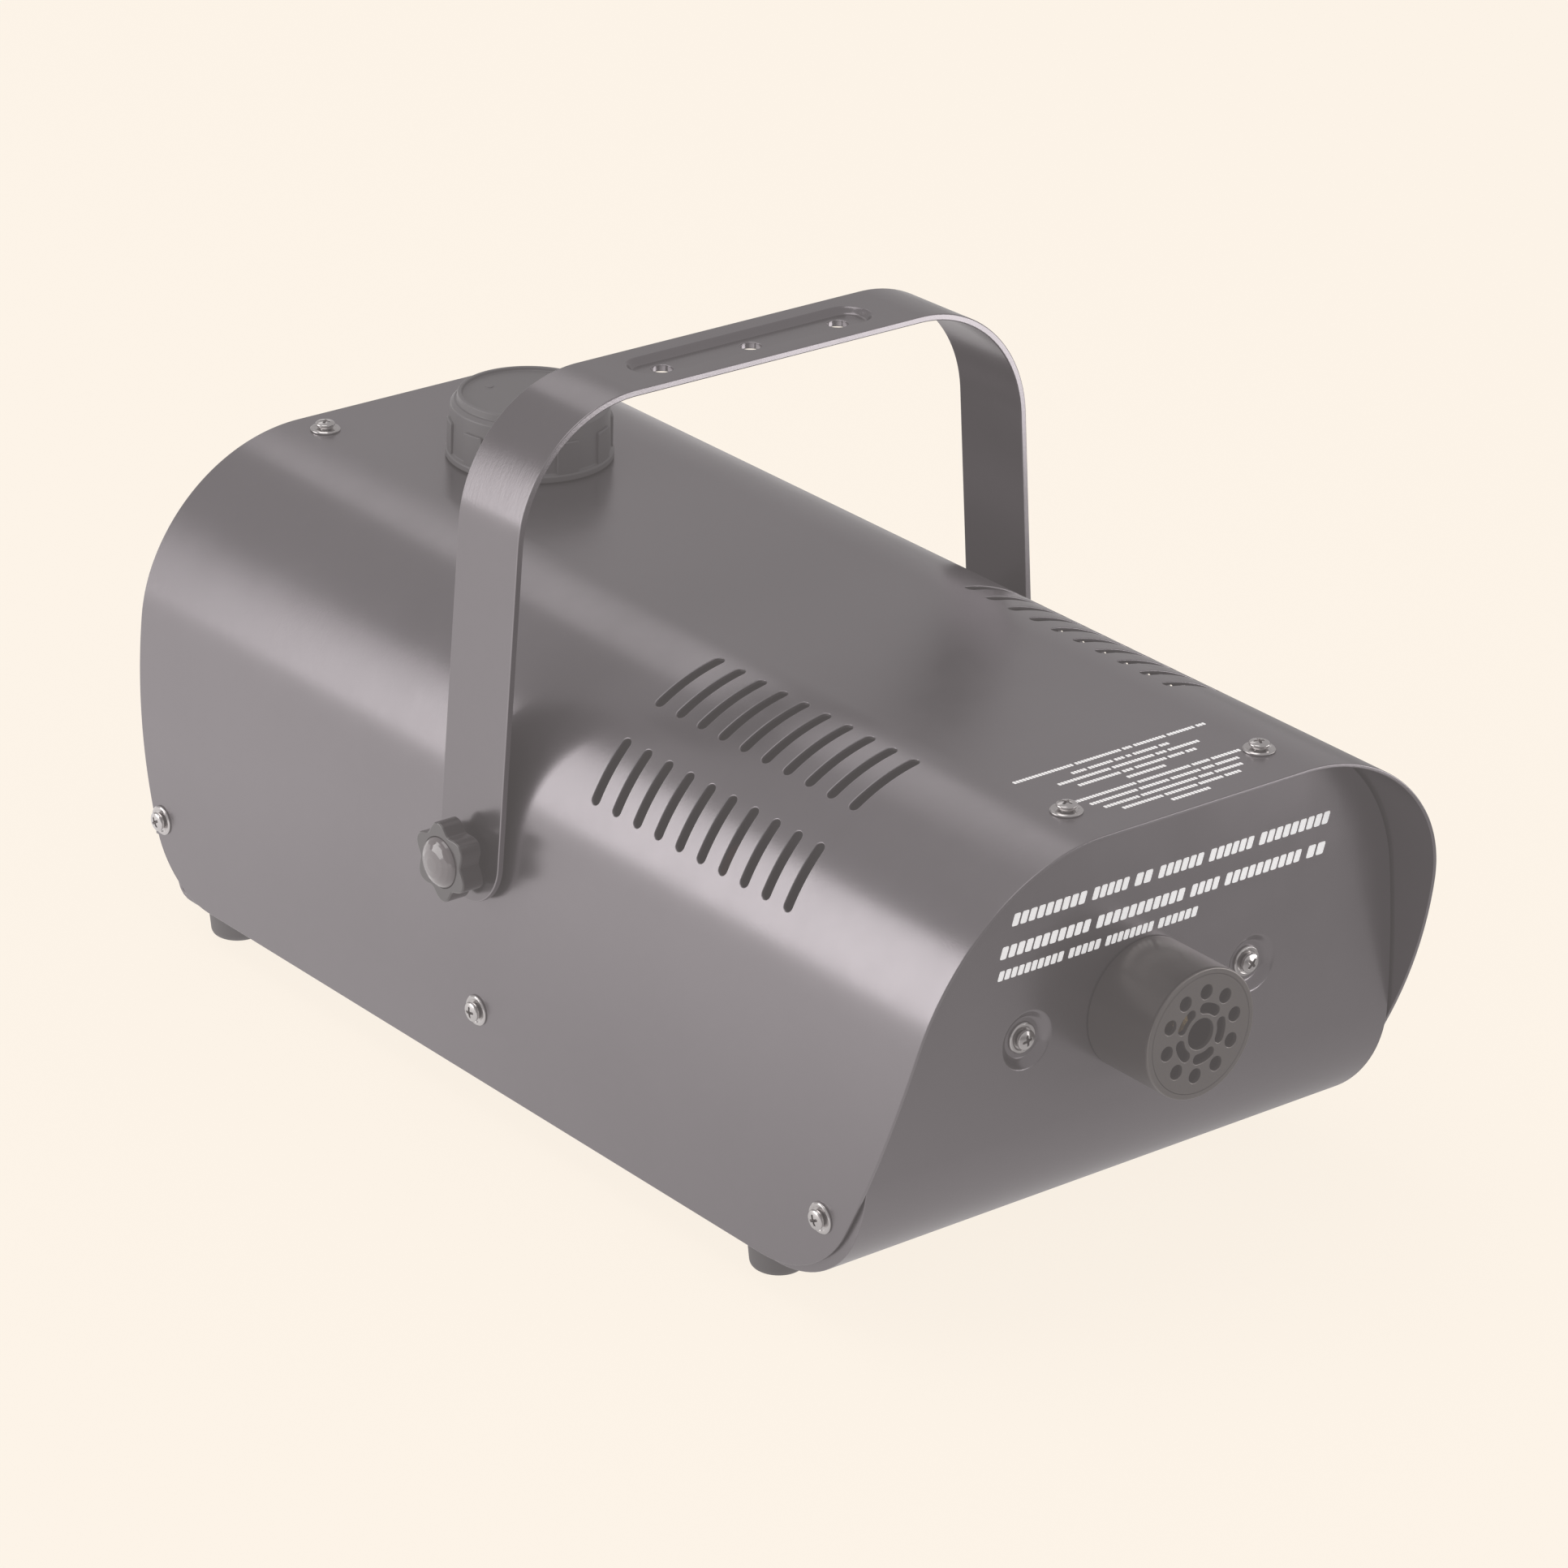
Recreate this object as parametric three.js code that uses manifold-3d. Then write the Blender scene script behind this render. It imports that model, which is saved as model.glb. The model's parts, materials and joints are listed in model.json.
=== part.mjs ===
// Fog machine: a bent sheet-steel housing with a heater, pump and fluid tank inside,
// a hanging bracket clamped by two hand knobs, and its connections on the rear wall.
// Millimetres. The nozzle looks along -Y, +X is to the right seen from the front, +Z is up.
// The origin is on the floor under the middle of the machine.
import * as THREE from 'three';
import { mergeVertices } from 'three/addons/utils/BufferGeometryUtils.js';
import Module from 'manifold-3d';

const wasm = await Module();
wasm.setup();

// ---- driving dimensions ----
const GAP = 0.3; // between pieces that rest on each other
const CLEAR = 0.35; // radial clearance of a screw or shaft in its hole

// top cover: flat top, round shoulders, slightly bulged sides
const COVER_T = 1.2;
const COVER_TOP = 158;
const COVER_BOTTOM = 12;
const COVER_FRONT = -198.5;
const COVER_REAR = 201.5;
const FLAT_HALF = 39.3;
const SHOULDER_R = 63.3;
const SHOULDER_TURN = rad(82.3);
const SIDE_R = 390;
const FRONT_ARC_R = 255; // seen from the side, the front edge curves back towards the bottom
const FRONT_CORNER_R = 46;
const REAR_ARC_R = 320;
const REAR_ARC_TOP = 123; // the rear edge is upright above this height
const REAR_CORNER_R = 28;

// ventilation slots on each shoulder
const SLOT_COUNT = 10;
const SLOT_PITCH = 10.2;
const SLOT_REAR_Y = -34;
const SLOT_WIDTH = 3.6;
const SLOT_ROWS = [
  { turn: rad(20.3), length: 27 },
  { turn: rad(54.6), length: 22.6 },
];

// base tray: bottom, front wall and rear wall bent from one sheet
const TRAY_T = 1.5;
const TRAY_INSET = COVER_T + 0.6; // from the cover's outside to the tray's edge
const TRAY_BOTTOM = 10.8;
const FRONT_WALL = -174.8; // outer faces
const REAR_WALL = 181;
const FRONT_BEND_R = 43.5;
const REAR_BEND_R = 6;
const FLANGE_TOP = 50;
const TAB_HALF = 8;

// screws: pan head with a captive washer
const SCREW_R = 2;
const WASHER_R = 5;
const WASHER_T = 0.9;
const HEAD_R = 3.4;
const HEAD_H = 2.3;
const SCREW_LENGTH = 7;
const TOP_SCREW_X = 37.6;
const TOP_SCREW_YS = { front: -179.5, rear: 188.4 };
const SIDE_SCREW_Z = 37.2;
const SIDE_SCREW_YS = { front: -156.7, middle: 11.8, rear: 184.9 };

// nozzle and heater share one axis
const AXIS_Z = 84.5;
const NOZZLE_R = 21;
const NOZZLE_FACE = -201.5;
const NOZZLE_WALL = 1.6;
const NOZZLE_HOLE_R = 15;
const DIMPLE_X = 44.4;
const DIMPLE_R = 9.5;
const DIMPLE_FLOOR_R = 6.4;
const DIMPLE_DEPTH = 2.5;

// hanging bracket
const PIVOT = { y: 13.5, z: 90.5 };
const STRIP_W = 30;
const STRIP_T = 2.2;
const BRACKET_TOP = 234.4;
const LEG_OUT = 109.4; // outer face at the pivot
const LEG_LEAN = 0.073; // legs lean inwards, per millimetre of height
const BRACKET_BEND_R = 44.7;
const BRACKET_REST = 1.1; // degrees that the bracket stands back from upright
const CHANNEL = { half: 45, width: 12, depth: 1.8 };
const HANG_HOLE_R = 3.4;
const HANG_HOLE_PITCH = 34.5;

// hand knobs, on studs along X
const STUD_R = 3;
const KNOB_IN = 110.2; // hub's inner face
const KNOB_BACK = 111.1; // star's inner face
const KNOB_FACE = 118.8;
const KNOB_LOBES = 6;
const KNOB_R = 11.6;
const KNOB_LOBE = 1.3;
const KNOB_PHASE = Math.PI * 38 / 180; // first lobe's angle from +Y
const KNOB_CAP_R = 8;

// tank, neck and cap
const TANK = { halfX: 70, front: 92, rear: 160, bottom: 18, top: 116, wall: 2.2 };
const CAP_X = 4;
const CAP_Y = 132.8;
const NECK_R = 21;
const NECK_BORE_R = 18.6;
const NECK_TOP = 175;
const CAP_R = 26.6;
const CAP_BOTTOM = 158.5;
const CAP_TOP = 179.8;
const CAP_RIBS = 10;
const PORT = { x: -45, y: 105, r: 4.9 };

// pump, along Y
const PUMP = { x: -45, z: 43, coilFront: 0, coilRear: 40, bodyFront: -22, bodyRear: 62 };
const PUMP_R = 11;
const PLUNGER_R = 6;
const HOSE_R = 4.4;
const HOSE_BORE_R = 3.3;

// rear wall fittings, left to right seen from above
const FITTING_Z = 56;
const INLET_X = -58;
const FUSE_X = -20;
const SWITCH_X = 12;
const REMOTE_X = 54;

// feet
const FOOT_X = 89.5;
const FOOT_YS = { front: -118.5, rear: 165 };
const FOOT_H = TRAY_BOTTOM - GAP;

// ---- helpers ----
function rad(degrees) {
  return (degrees * Math.PI) / 180;
}

function solid(geometry) {
  const bare = geometry.clone();
  bare.deleteAttribute('normal');
  bare.deleteAttribute('uv');
  const welded = mergeVertices(bare, 1e-4);
  return new wasm.Manifold(new wasm.Mesh({
    numProp: 3,
    vertProperties: new Float32Array(welded.attributes.position.array),
    triVerts: new Uint32Array(welded.index.array),
  }));
}

function join(...solids) {
  return solids.reduce((whole, piece) => whole.add(piece));
}

function cut(whole, ...tools) {
  return tools.reduce((rest, tool) => rest.subtract(tool), whole);
}

function geometryOf(manifold) {
  const mesh = manifold.getMesh();
  const geometry = new THREE.BufferGeometry();
  geometry.setAttribute('position', new THREE.BufferAttribute(mesh.vertProperties, 3));
  geometry.setIndex(new THREE.BufferAttribute(mesh.triVerts, 1));
  geometry.computeVertexNormals();
  return geometry;
}

function box(x0, x1, y0, y1, z0, z1) {
  const geometry = new THREE.BoxGeometry(x1 - x0, y1 - y0, z1 - z0);
  return solid(geometry.translate((x0 + x1) / 2, (y0 + y1) / 2, (z0 + z1) / 2));
}

// A cylinder or cone from `from` to `to` along X, Y or Z, centred on the other two coordinates.
function rod(axis, from, to, centre, r0, r1 = r0, segments = 24) {
  const geometry = new THREE.CylinderGeometry(r1, r0, to - from, segments);
  const middle = (from + to) / 2;
  if (axis === 'x') geometry.rotateZ(-Math.PI / 2).translate(middle, centre[0], centre[1]);
  if (axis === 'y') geometry.translate(centre[0], middle, centre[1]);
  if (axis === 'z') geometry.rotateX(Math.PI / 2).translate(centre[0], centre[1], middle);
  return solid(geometry);
}

// A turned piece about Z. The profile is [radius, height] points.
function turned(profile, segments = 24) {
  const points = profile.map(([r, h]) => new THREE.Vector2(r, h));
  return solid(new THREE.LatheGeometry(points, segments).rotateX(Math.PI / 2));
}

// Prisms of an outline in XZ along Y, in YZ along X and in XY along Z.
const YZ_TO_X = new THREE.Matrix4().makeBasis(
  new THREE.Vector3(0, 1, 0), new THREE.Vector3(0, 0, 1), new THREE.Vector3(1, 0, 0));

function prism(outline, depth) {
  const shape = new THREE.Shape(outline.map(([u, v]) => new THREE.Vector2(u, v)));
  return new THREE.ExtrudeGeometry(shape, { depth, bevelEnabled: false });
}

function prismY(outline, y0, y1) {
  return solid(prism(outline, y1 - y0).rotateX(Math.PI / 2).translate(0, y1, 0));
}

function prismX(outline, x0, x1) {
  return solid(prism(outline, x1 - x0).applyMatrix4(YZ_TO_X).translate(x0, 0, 0));
}

function prismZ(outline, z0, z1) {
  return solid(prism(outline, z1 - z0).translate(0, 0, z0));
}

// Points of an arc round (cu, cv) from angle a0 to a1, both ends included.
function arc(cu, cv, r, a0, a1, steps) {
  return Array.from({ length: steps + 1 }, (_, i) => {
    const a = a0 + ((a1 - a0) * i) / steps;
    return [cu + r * Math.cos(a), cv + r * Math.sin(a)];
  });
}

function stadium(length, width, steps = 4) {
  const r = width / 2;
  const half = length / 2 - r;
  return [
    ...arc(half, 0, r, -Math.PI / 2, Math.PI / 2, steps),
    ...arc(-half, 0, r, Math.PI / 2, (3 * Math.PI) / 2, steps),
  ];
}

function roundedBox(halfU, halfV, r, steps = 3) {
  const corners = [[1, 1, 0], [-1, 1, 1], [-1, -1, 2], [1, -1, 3]];
  return corners.flatMap(([su, sv, quarter]) => {
    const a0 = (quarter * Math.PI) / 2;
    return arc(su * (halfU - r), sv * (halfV - r), r, a0, a0 + Math.PI / 2, steps);
  });
}

function shifted(outline, du, dv) {
  return outline.map(([u, v]) => [u + du, v + dv]);
}

// ---- the housing's cross-section ----
const SHOULDER_CENTRE = { x: FLAT_HALF, z: COVER_TOP - SHOULDER_R };
const SIDE_CENTRE = {
  x: SHOULDER_CENTRE.x - (SIDE_R - SHOULDER_R) * Math.sin(SHOULDER_TURN),
  z: SHOULDER_CENTRE.z - (SIDE_R - SHOULDER_R) * Math.cos(SHOULDER_TURN),
};

// Half section from the bottom edge up to the flat top, on the +X side.
function halfSection(inset, bottom) {
  const low = Math.asin((bottom - SIDE_CENTRE.z) / (SIDE_R - inset));
  const meet = Math.PI / 2 - SHOULDER_TURN;
  return [
    ...arc(SIDE_CENTRE.x, SIDE_CENTRE.z, SIDE_R - inset, low, meet, 4),
    ...arc(SHOULDER_CENTRE.x, SHOULDER_CENTRE.z, SHOULDER_R - inset, meet, Math.PI / 2, 10).slice(1),
  ];
}

function section(inset, bottom) {
  const right = halfSection(inset, bottom);
  const left = right.map(([x, z]) => [-x, z]).reverse();
  return [...right, ...left];
}

function sectionX(inset, z) {
  return SIDE_CENTRE.x + Math.sqrt((SIDE_R - inset) ** 2 - (z - SIDE_CENTRE.z) ** 2);
}

// ---- the cover seen from the side ----
function coverSideOutline() {
  const front = { y: COVER_FRONT + FRONT_ARC_R, z: COVER_TOP };
  const frontReach = FRONT_ARC_R - FRONT_CORNER_R;
  const frontTurn = Math.asin((COVER_TOP - COVER_BOTTOM - FRONT_CORNER_R) / frontReach);
  const frontCorner = front.y - frontReach * Math.cos(frontTurn);
  const rear = { y: COVER_REAR - REAR_ARC_R, z: REAR_ARC_TOP };
  const rearReach = REAR_ARC_R - REAR_CORNER_R;
  const rearTurn = Math.asin((REAR_ARC_TOP - COVER_BOTTOM - REAR_CORNER_R) / rearReach);
  const rearCorner = rear.y + rearReach * Math.cos(rearTurn);
  return [
    ...arc(front.y, front.z, FRONT_ARC_R, Math.PI, Math.PI + frontTurn, 6),
    ...arc(frontCorner, COVER_BOTTOM + FRONT_CORNER_R, FRONT_CORNER_R,
      Math.PI + frontTurn, (3 * Math.PI) / 2, 5).slice(1),
    ...arc(rearCorner, COVER_BOTTOM + REAR_CORNER_R, REAR_CORNER_R,
      -Math.PI / 2, -rearTurn, 5),
    ...arc(rear.y, rear.z, REAR_ARC_R, -rearTurn, 0, 4).slice(1),
    [COVER_REAR, COVER_TOP + 1],
    [COVER_FRONT, COVER_TOP + 1],
  ];
}

function slotTools() {
  const tools = [];
  for (const side of [1, -1]) {
    for (const row of SLOT_ROWS) {
      for (let i = 0; i < SLOT_COUNT; i++) {
        const tool = prism(stadium(row.length, SLOT_WIDTH, 3), 10);
        tool.translate(0, 0, SHOULDER_R - 5).rotateY(row.turn);
        tool.translate(SHOULDER_CENTRE.x, SLOT_REAR_Y - i * SLOT_PITCH, SHOULDER_CENTRE.z);
        if (side < 0) tool.rotateZ(Math.PI).translate(0, 2 * (SLOT_REAR_Y - i * SLOT_PITCH), 0);
        tools.push(solid(tool));
      }
    }
  }
  return tools;
}

function topCover() {
  const shell = cut(
    prismY(section(0, COVER_BOTTOM), COVER_FRONT, COVER_REAR),
    prismY(section(COVER_T, COVER_BOTTOM - 2), COVER_FRONT - 1, COVER_REAR + 1),
  );
  const shaped = shell.intersect(prismX(coverSideOutline(), -120, 120));
  const neckR = NECK_R + 2.5;
  const screwR = SCREW_R + CLEAR;
  const low = COVER_TOP - 10;
  const high = COVER_TOP + 10;
  const holes = [rod('z', low, high, [CAP_X, CAP_Y], neckR, neckR, 32)];
  for (const side of [1, -1]) {
    for (const y of Object.values(TOP_SCREW_YS)) {
      holes.push(rod('z', low, high, [side * TOP_SCREW_X, y], screwR, screwR, 12));
    }
    for (const y of Object.values(SIDE_SCREW_YS)) {
      holes.push(sideHole(side, y, SIDE_SCREW_Z, screwR));
    }
    holes.push(sideHole(side, PIVOT.y, PIVOT.z, STUD_R + CLEAR));
  }
  return cut(shaped, ...holes, ...slotTools());
}

function sideHole(side, y, z, r) {
  const reach = [90, 112].map((x) => x * side).sort((a, b) => a - b);
  return rod('x', reach[0], reach[1], [y, z], r, r, 12);
}

// ---- base tray ----
function trayOutline(inset, top) {
  const frontY = FRONT_WALL + inset;
  const rearY = REAR_WALL - inset;
  return [
    [frontY, top],
    ...arc(FRONT_WALL + FRONT_BEND_R, TRAY_BOTTOM + FRONT_BEND_R, FRONT_BEND_R - inset,
      Math.PI, (3 * Math.PI) / 2, 7),
    ...arc(REAR_WALL - REAR_BEND_R, TRAY_BOTTOM + REAR_BEND_R, REAR_BEND_R - inset,
      -Math.PI / 2, 0, 3),
    [rearY, top],
  ];
}

function dimple(side) {
  const floor = FRONT_WALL + DIMPLE_DEPTH;
  const dish = turned([
    [SCREW_R + CLEAR, DIMPLE_DEPTH], [DIMPLE_FLOOR_R, DIMPLE_DEPTH], [DIMPLE_R, 0],
    [DIMPLE_R + 0.6, 0], [DIMPLE_R + 0.6, TRAY_T], [DIMPLE_FLOOR_R + 1, DIMPLE_DEPTH + 1.2],
    [SCREW_R + CLEAR, DIMPLE_DEPTH + 1.2], [SCREW_R + CLEAR, DIMPLE_DEPTH],
  ], 20);
  const pressed = dish.rotate([-90, 0, 0]).translate([side * DIMPLE_X, FRONT_WALL, AXIS_Z]);
  const opening = rod('y', FRONT_WALL - 1, floor + 3, [side * DIMPLE_X, AXIS_Z], DIMPLE_R, DIMPLE_R, 20);
  return { pressed, opening };
}

function rearCutouts() {
  const through = (outline, x) => prismY(shifted(outline, x, FITTING_Z), REAR_WALL - 4, REAR_WALL + 4);
  return [
    through(roundedBox(14, 10.2, 2), INLET_X),
    rod('y', REAR_WALL - 4, REAR_WALL + 4, [FUSE_X, FITTING_Z], 6.4, 6.4, 20),
    through(roundedBox(10, 7, 1), SWITCH_X),
    rod('y', REAR_WALL - 4, REAR_WALL + 4, [REMOTE_X, FITTING_Z], 11.4, 11.4, 20),
  ];
}

function trayVents() {
  return [-2, -1, 0, 1, 2].map((i) =>
    prismZ(shifted(stadium(36, 5, 3), 0, -100 + i * 12), TRAY_BOTTOM - 2, TRAY_BOTTOM + 4));
}

function baseTray() {
  const wallTop = COVER_TOP - TRAY_INSET;
  const sheet = cut(
    prismX(trayOutline(0, wallTop), -110, 110),
    prismX(trayOutline(TRAY_T, wallTop + 1), -111, 111),
  );
  const inside = prismY(section(TRAY_INSET, TRAY_BOTTOM - 2), COVER_FRONT, COVER_REAR);
  const core = prismY(section(TRAY_INSET + TRAY_T, TRAY_BOTTOM - 3), COVER_FRONT - 1, COVER_REAR + 1);
  const skirt = cut(inside, core)
    .intersect(prismX(trayOutline(0, wallTop), -110, 110))
    .intersect(box(-110, 110, COVER_FRONT, COVER_REAR, 0, FLANGE_TOP));
  const tails = cut(inside, core)
    .intersect(box(-110, 110, REAR_WALL - 2, COVER_REAR, SIDE_SCREW_Z - 8, SIDE_SCREW_Z + 8))
    .intersect(prismX(coverSideOutline(), -110, 110).translate([0, -1, 0]));
  const pieces = [sheet.intersect(inside), skirt, tails];
  const holes = [...rearCutouts(), ...trayVents()];
  holes.push(rod('y', FRONT_WALL - 2, FRONT_WALL + 4, [0, AXIS_Z], NOZZLE_HOLE_R));
  const dimples = [1, -1].map(dimple);
  for (const side of [1, -1]) {
    const x = side * TOP_SCREW_X;
    const tabZ = [wallTop - TRAY_T, wallTop];
    pieces.push(box(x - TAB_HALF, x + TAB_HALF, FRONT_WALL - 10, FRONT_WALL + 1, ...tabZ));
    pieces.push(box(x - TAB_HALF, x + TAB_HALF, REAR_WALL - 1, REAR_WALL + 14, ...tabZ));
    for (const y of Object.values(TOP_SCREW_YS)) {
      holes.push(rod('z', COVER_TOP - 10, COVER_TOP + 10, [x, y], SCREW_R + CLEAR, SCREW_R + CLEAR, 12));
    }
    for (const y of Object.values(SIDE_SCREW_YS)) {
      holes.push(sideHole(side, y, SIDE_SCREW_Z, SCREW_R + CLEAR));
    }
  }
  const body = cut(join(...pieces), ...holes, ...dimples.map((d) => d.opening));
  return join(body, ...dimples.map((d) => d.pressed));
}

// ---- nozzle ----
function nozzleShroud() {
  const back = FRONT_WALL - GAP;
  const shell = cut(
    rod('y', NOZZLE_FACE, back, [0, AXIS_Z], NOZZLE_R, NOZZLE_R, 32),
    rod('y', NOZZLE_FACE + NOZZLE_WALL, back + 1, [0, AXIS_Z], NOZZLE_R - NOZZLE_WALL,
      NOZZLE_R - NOZZLE_WALL, 32),
  );
  const pierce = (x, z, r, segments) =>
    rod('y', NOZZLE_FACE - 1, NOZZLE_FACE + 3, [x, AXIS_Z + z], r, r, segments);
  const holes = [pierce(0, 0, 5, 16)];
  for (let i = 0; i < 10; i++) {
    const a = rad(84 + 36 * i);
    holes.push(pierce(13.4 * Math.cos(a), 13.4 * Math.sin(a), 2.3, 8));
  }
  for (let i = 0; i < 5; i++) {
    const middle = rad(66 + 72 * i);
    const half = rad(25);
    const outline = [
      ...arc(0, 0, 9.8, middle - half, middle + half, 4),
      ...arc(0, 0, 6.5, middle + half, middle - half, 4),
    ];
    holes.push(prismY(shifted(outline, 0, AXIS_Z), NOZZLE_FACE - 1, NOZZLE_FACE + 3));
  }
  return cut(shell, ...holes);
}

function nozzleJet() {
  const profile = [[1, 0], [7, 0], [7, 8], [4.5, 10], [4.5, 22], [3, 26], [1, 26], [1, 0]];
  return turned(profile, 12).rotate([90, 0, 0]).translate([0, -166.4, AXIS_Z]);
}

// ---- heater ----
const BLOCK = { front: -158, rear: -48, halfX: 32, halfZ: 22 };

function heaterHalf(top) {
  const z0 = top ? AXIS_Z + 0.2 : AXIS_Z - BLOCK.halfZ;
  const z1 = top ? AXIS_Z + BLOCK.halfZ : AXIS_Z - 0.2;
  const bores = [rod('y', BLOCK.front - 1, BLOCK.rear + 1, [0, AXIS_Z], 3.3, 3.3, 16)];
  if (!top) {
    for (const x of [-20, 20]) {
      bores.push(rod('y', BLOCK.front - 1, BLOCK.rear + 1, [x, AXIS_Z - 11], 5.2, 5.2, 16));
    }
  }
  return cut(box(-BLOCK.halfX, BLOCK.halfX, BLOCK.front, BLOCK.rear, z0, z1), ...bores);
}

function tubeAlong(axis, from, to, centre, outer, bore) {
  return cut(rod(axis, from, to, centre, outer, outer, 16),
    rod(axis, from - 1, to + 1, centre, bore, bore, 12));
}

function heaterFrontBracket() {
  const t = 1.5;
  const near = FRONT_WALL + 4.4;
  const far = BLOCK.front - GAP;
  const strip = prismZ([
    [-54, near], [-39, near], [-34, far - t], [34, far - t], [39, near], [54, near],
    [54, near + t], [40, near + t], [35, far], [-35, far], [-40, near + t], [-54, near + t],
  ], AXIS_Z - 10, AXIS_Z + 10);
  const holes = [rod('y', near - 2, far + 2, [0, AXIS_Z], 8, 8, 16)];
  for (const side of [1, -1]) {
    holes.push(rod('y', near - 2, near + 4, [side * DIMPLE_X, AXIS_Z],
      SCREW_R + CLEAR, SCREW_R + CLEAR, 12));
  }
  return cut(strip, ...holes);
}

function heaterRearSaddle() {
  const floor = TRAY_BOTTOM + TRAY_T + GAP;
  const top = AXIS_Z - BLOCK.halfZ - GAP;
  return prismY([
    [-46, floor], [-28.5, floor], [-28.5, top - 1.5], [28.5, top - 1.5], [28.5, floor], [46, floor],
    [46, floor + 1.5], [30, floor + 1.5], [30, top], [-30, top], [-30, floor + 1.5], [-46, floor + 1.5],
  ], -72, -54);
}

function heatShield() {
  const floor = TRAY_BOTTOM + TRAY_T + GAP;
  return prismY([
    [-50, floor], [-50, 124], [50, 124], [50, floor], [51, floor], [51, 125], [-51, 125], [-51, floor],
  ], -128, -50);
}

function thermostat() {
  const base = AXIS_Z + BLOCK.halfZ + GAP;
  const can = rod('z', base, base + 6, [0, -75], 8, 8, 16);
  const lugs = box(-13, 13, -79, -71, base, base + 1.2);
  const blades = [-5.5, 5.5].map((x) => box(x - 1.5, x + 1.5, -77, -73, base + 5, base + 13));
  return join(can, lugs, ...blades);
}

function thermalFuse() {
  const base = AXIS_Z + BLOCK.halfZ + GAP;
  return join(box(-12, 12, -132, -124, base, base + 1), rod('x', -10, 10, [-128, base + 3.5], 3, 3, 12));
}

// ---- pump ----
function pumpCoil() {
  const block = prismY(shifted(roundedBox(20, 20, 4), PUMP.x, PUMP.z), PUMP.coilFront, PUMP.coilRear);
  const bore = rod('y', PUMP.coilFront - 1, PUMP.coilRear + 1, [PUMP.x, PUMP.z], PUMP_R + GAP);
  const blades = [-6, 6].map((dx) =>
    box(PUMP.x + dx - 0.4, PUMP.x + dx + 0.4, 17, 23.3, PUMP.z + 19, PUMP.z + 29));
  return join(cut(block, bore), ...blades);
}

function pumpBody() {
  const chamber = { front: -10, rear: 50 };
  const at = [PUMP.x, PUMP.z];
  return cut(
    join(rod('y', PUMP.bodyFront, PUMP.bodyRear, at, PUMP_R),
      rod('y', PUMP.bodyRear - 1, PUMP.bodyRear + 7, at, 3, 3, 12)),
    rod('y', chamber.front, chamber.rear, at, PLUNGER_R + GAP),
    rod('y', PUMP.bodyFront - 1, PUMP.bodyRear + 8, at, 1.5, 1.5, 8),
  );
}

function pumpPlunger() {
  return cut(rod('y', 2, 38, [PUMP.x, PUMP.z], PLUNGER_R), rod('y', 1, 39, [PUMP.x, PUMP.z], 2, 2, 12));
}

function pumpBracket() {
  const floor = TRAY_BOTTOM + TRAY_T + GAP;
  const channel = prismX([
    [-6, floor], [46, floor], [46, 62], [44.5, 62], [44.5, floor + 1.5],
    [-4.5, floor + 1.5], [-4.5, 62], [-6, 62],
  ], PUMP.x - 17, PUMP.x + 17);
  return cut(channel, rod('y', -8, 48, [PUMP.x, PUMP.z], PUMP_R + GAP));
}

// An elbow: a hex body on the pump's front end with an upright barb.
const ELBOW = { y: PUMP.bodyFront - 5, barbTop: PUMP.z + 20 };

function pumpOutlet() {
  const back = PUMP.bodyFront - GAP;
  const hex = rod('y', back - 9, back, [PUMP.x, PUMP.z], 8, 8, 6);
  const barb = rod('z', PUMP.z, ELBOW.barbTop, [PUMP.x, ELBOW.y], 3, 3, 16);
  return cut(join(hex, barb),
    rod('y', ELBOW.y, back + 1, [PUMP.x, PUMP.z], 1.5, 1.5, 12),
    rod('z', PUMP.z, ELBOW.barbTop + 1, [PUMP.x, ELBOW.y], 1.5, 1.5, 12));
}

// A round hose along straight runs joined by bends, its ends cut square.
function hose(points, bend, outer, bore, steps) {
  const corners = points.map((p) => new THREE.Vector3(...p));
  const path = new THREE.CurvePath();
  let from = corners[0];
  for (let i = 1; i < corners.length - 1; i++) {
    const into = corners[i].clone().lerp(corners[i - 1], bend / corners[i].distanceTo(corners[i - 1]));
    const out = corners[i].clone().lerp(corners[i + 1], bend / corners[i].distanceTo(corners[i + 1]));
    path.add(new THREE.LineCurve3(from, into));
    path.add(new THREE.QuadraticBezierCurve3(into, corners[i], out));
    from = out;
  }
  path.add(new THREE.LineCurve3(from, corners.at(-1)));
  const ring = (r, n) => arc(0, 0, r, 0, 2 * Math.PI, n).slice(1).map(([u, v]) => new THREE.Vector2(u, v));
  const shape = new THREE.Shape(ring(outer, 8));
  shape.holes.push(new THREE.Path(ring(bore, 8)));
  return solid(new THREE.ExtrudeGeometry(shape, { steps, extrudePath: path, bevelEnabled: false }));
}

function suctionHose() {
  const { x, z } = PUMP;
  return hose([
    [x, PUMP.bodyRear + 1, z], [x, 84, z], [x, 84, 130], [x, PORT.y, 130], [x, PORT.y, 34],
  ], 8, HOSE_R, HOSE_BORE_R, 34);
}

function pressureHose() {
  return hose([
    [PUMP.x, ELBOW.y, PUMP.z + 10], [PUMP.x, ELBOW.y, AXIS_Z], [0, ELBOW.y, AXIS_Z],
    [0, BLOCK.rear + 1, AXIS_Z],
  ], 7, HOSE_R, HOSE_BORE_R, 20);
}

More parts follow.
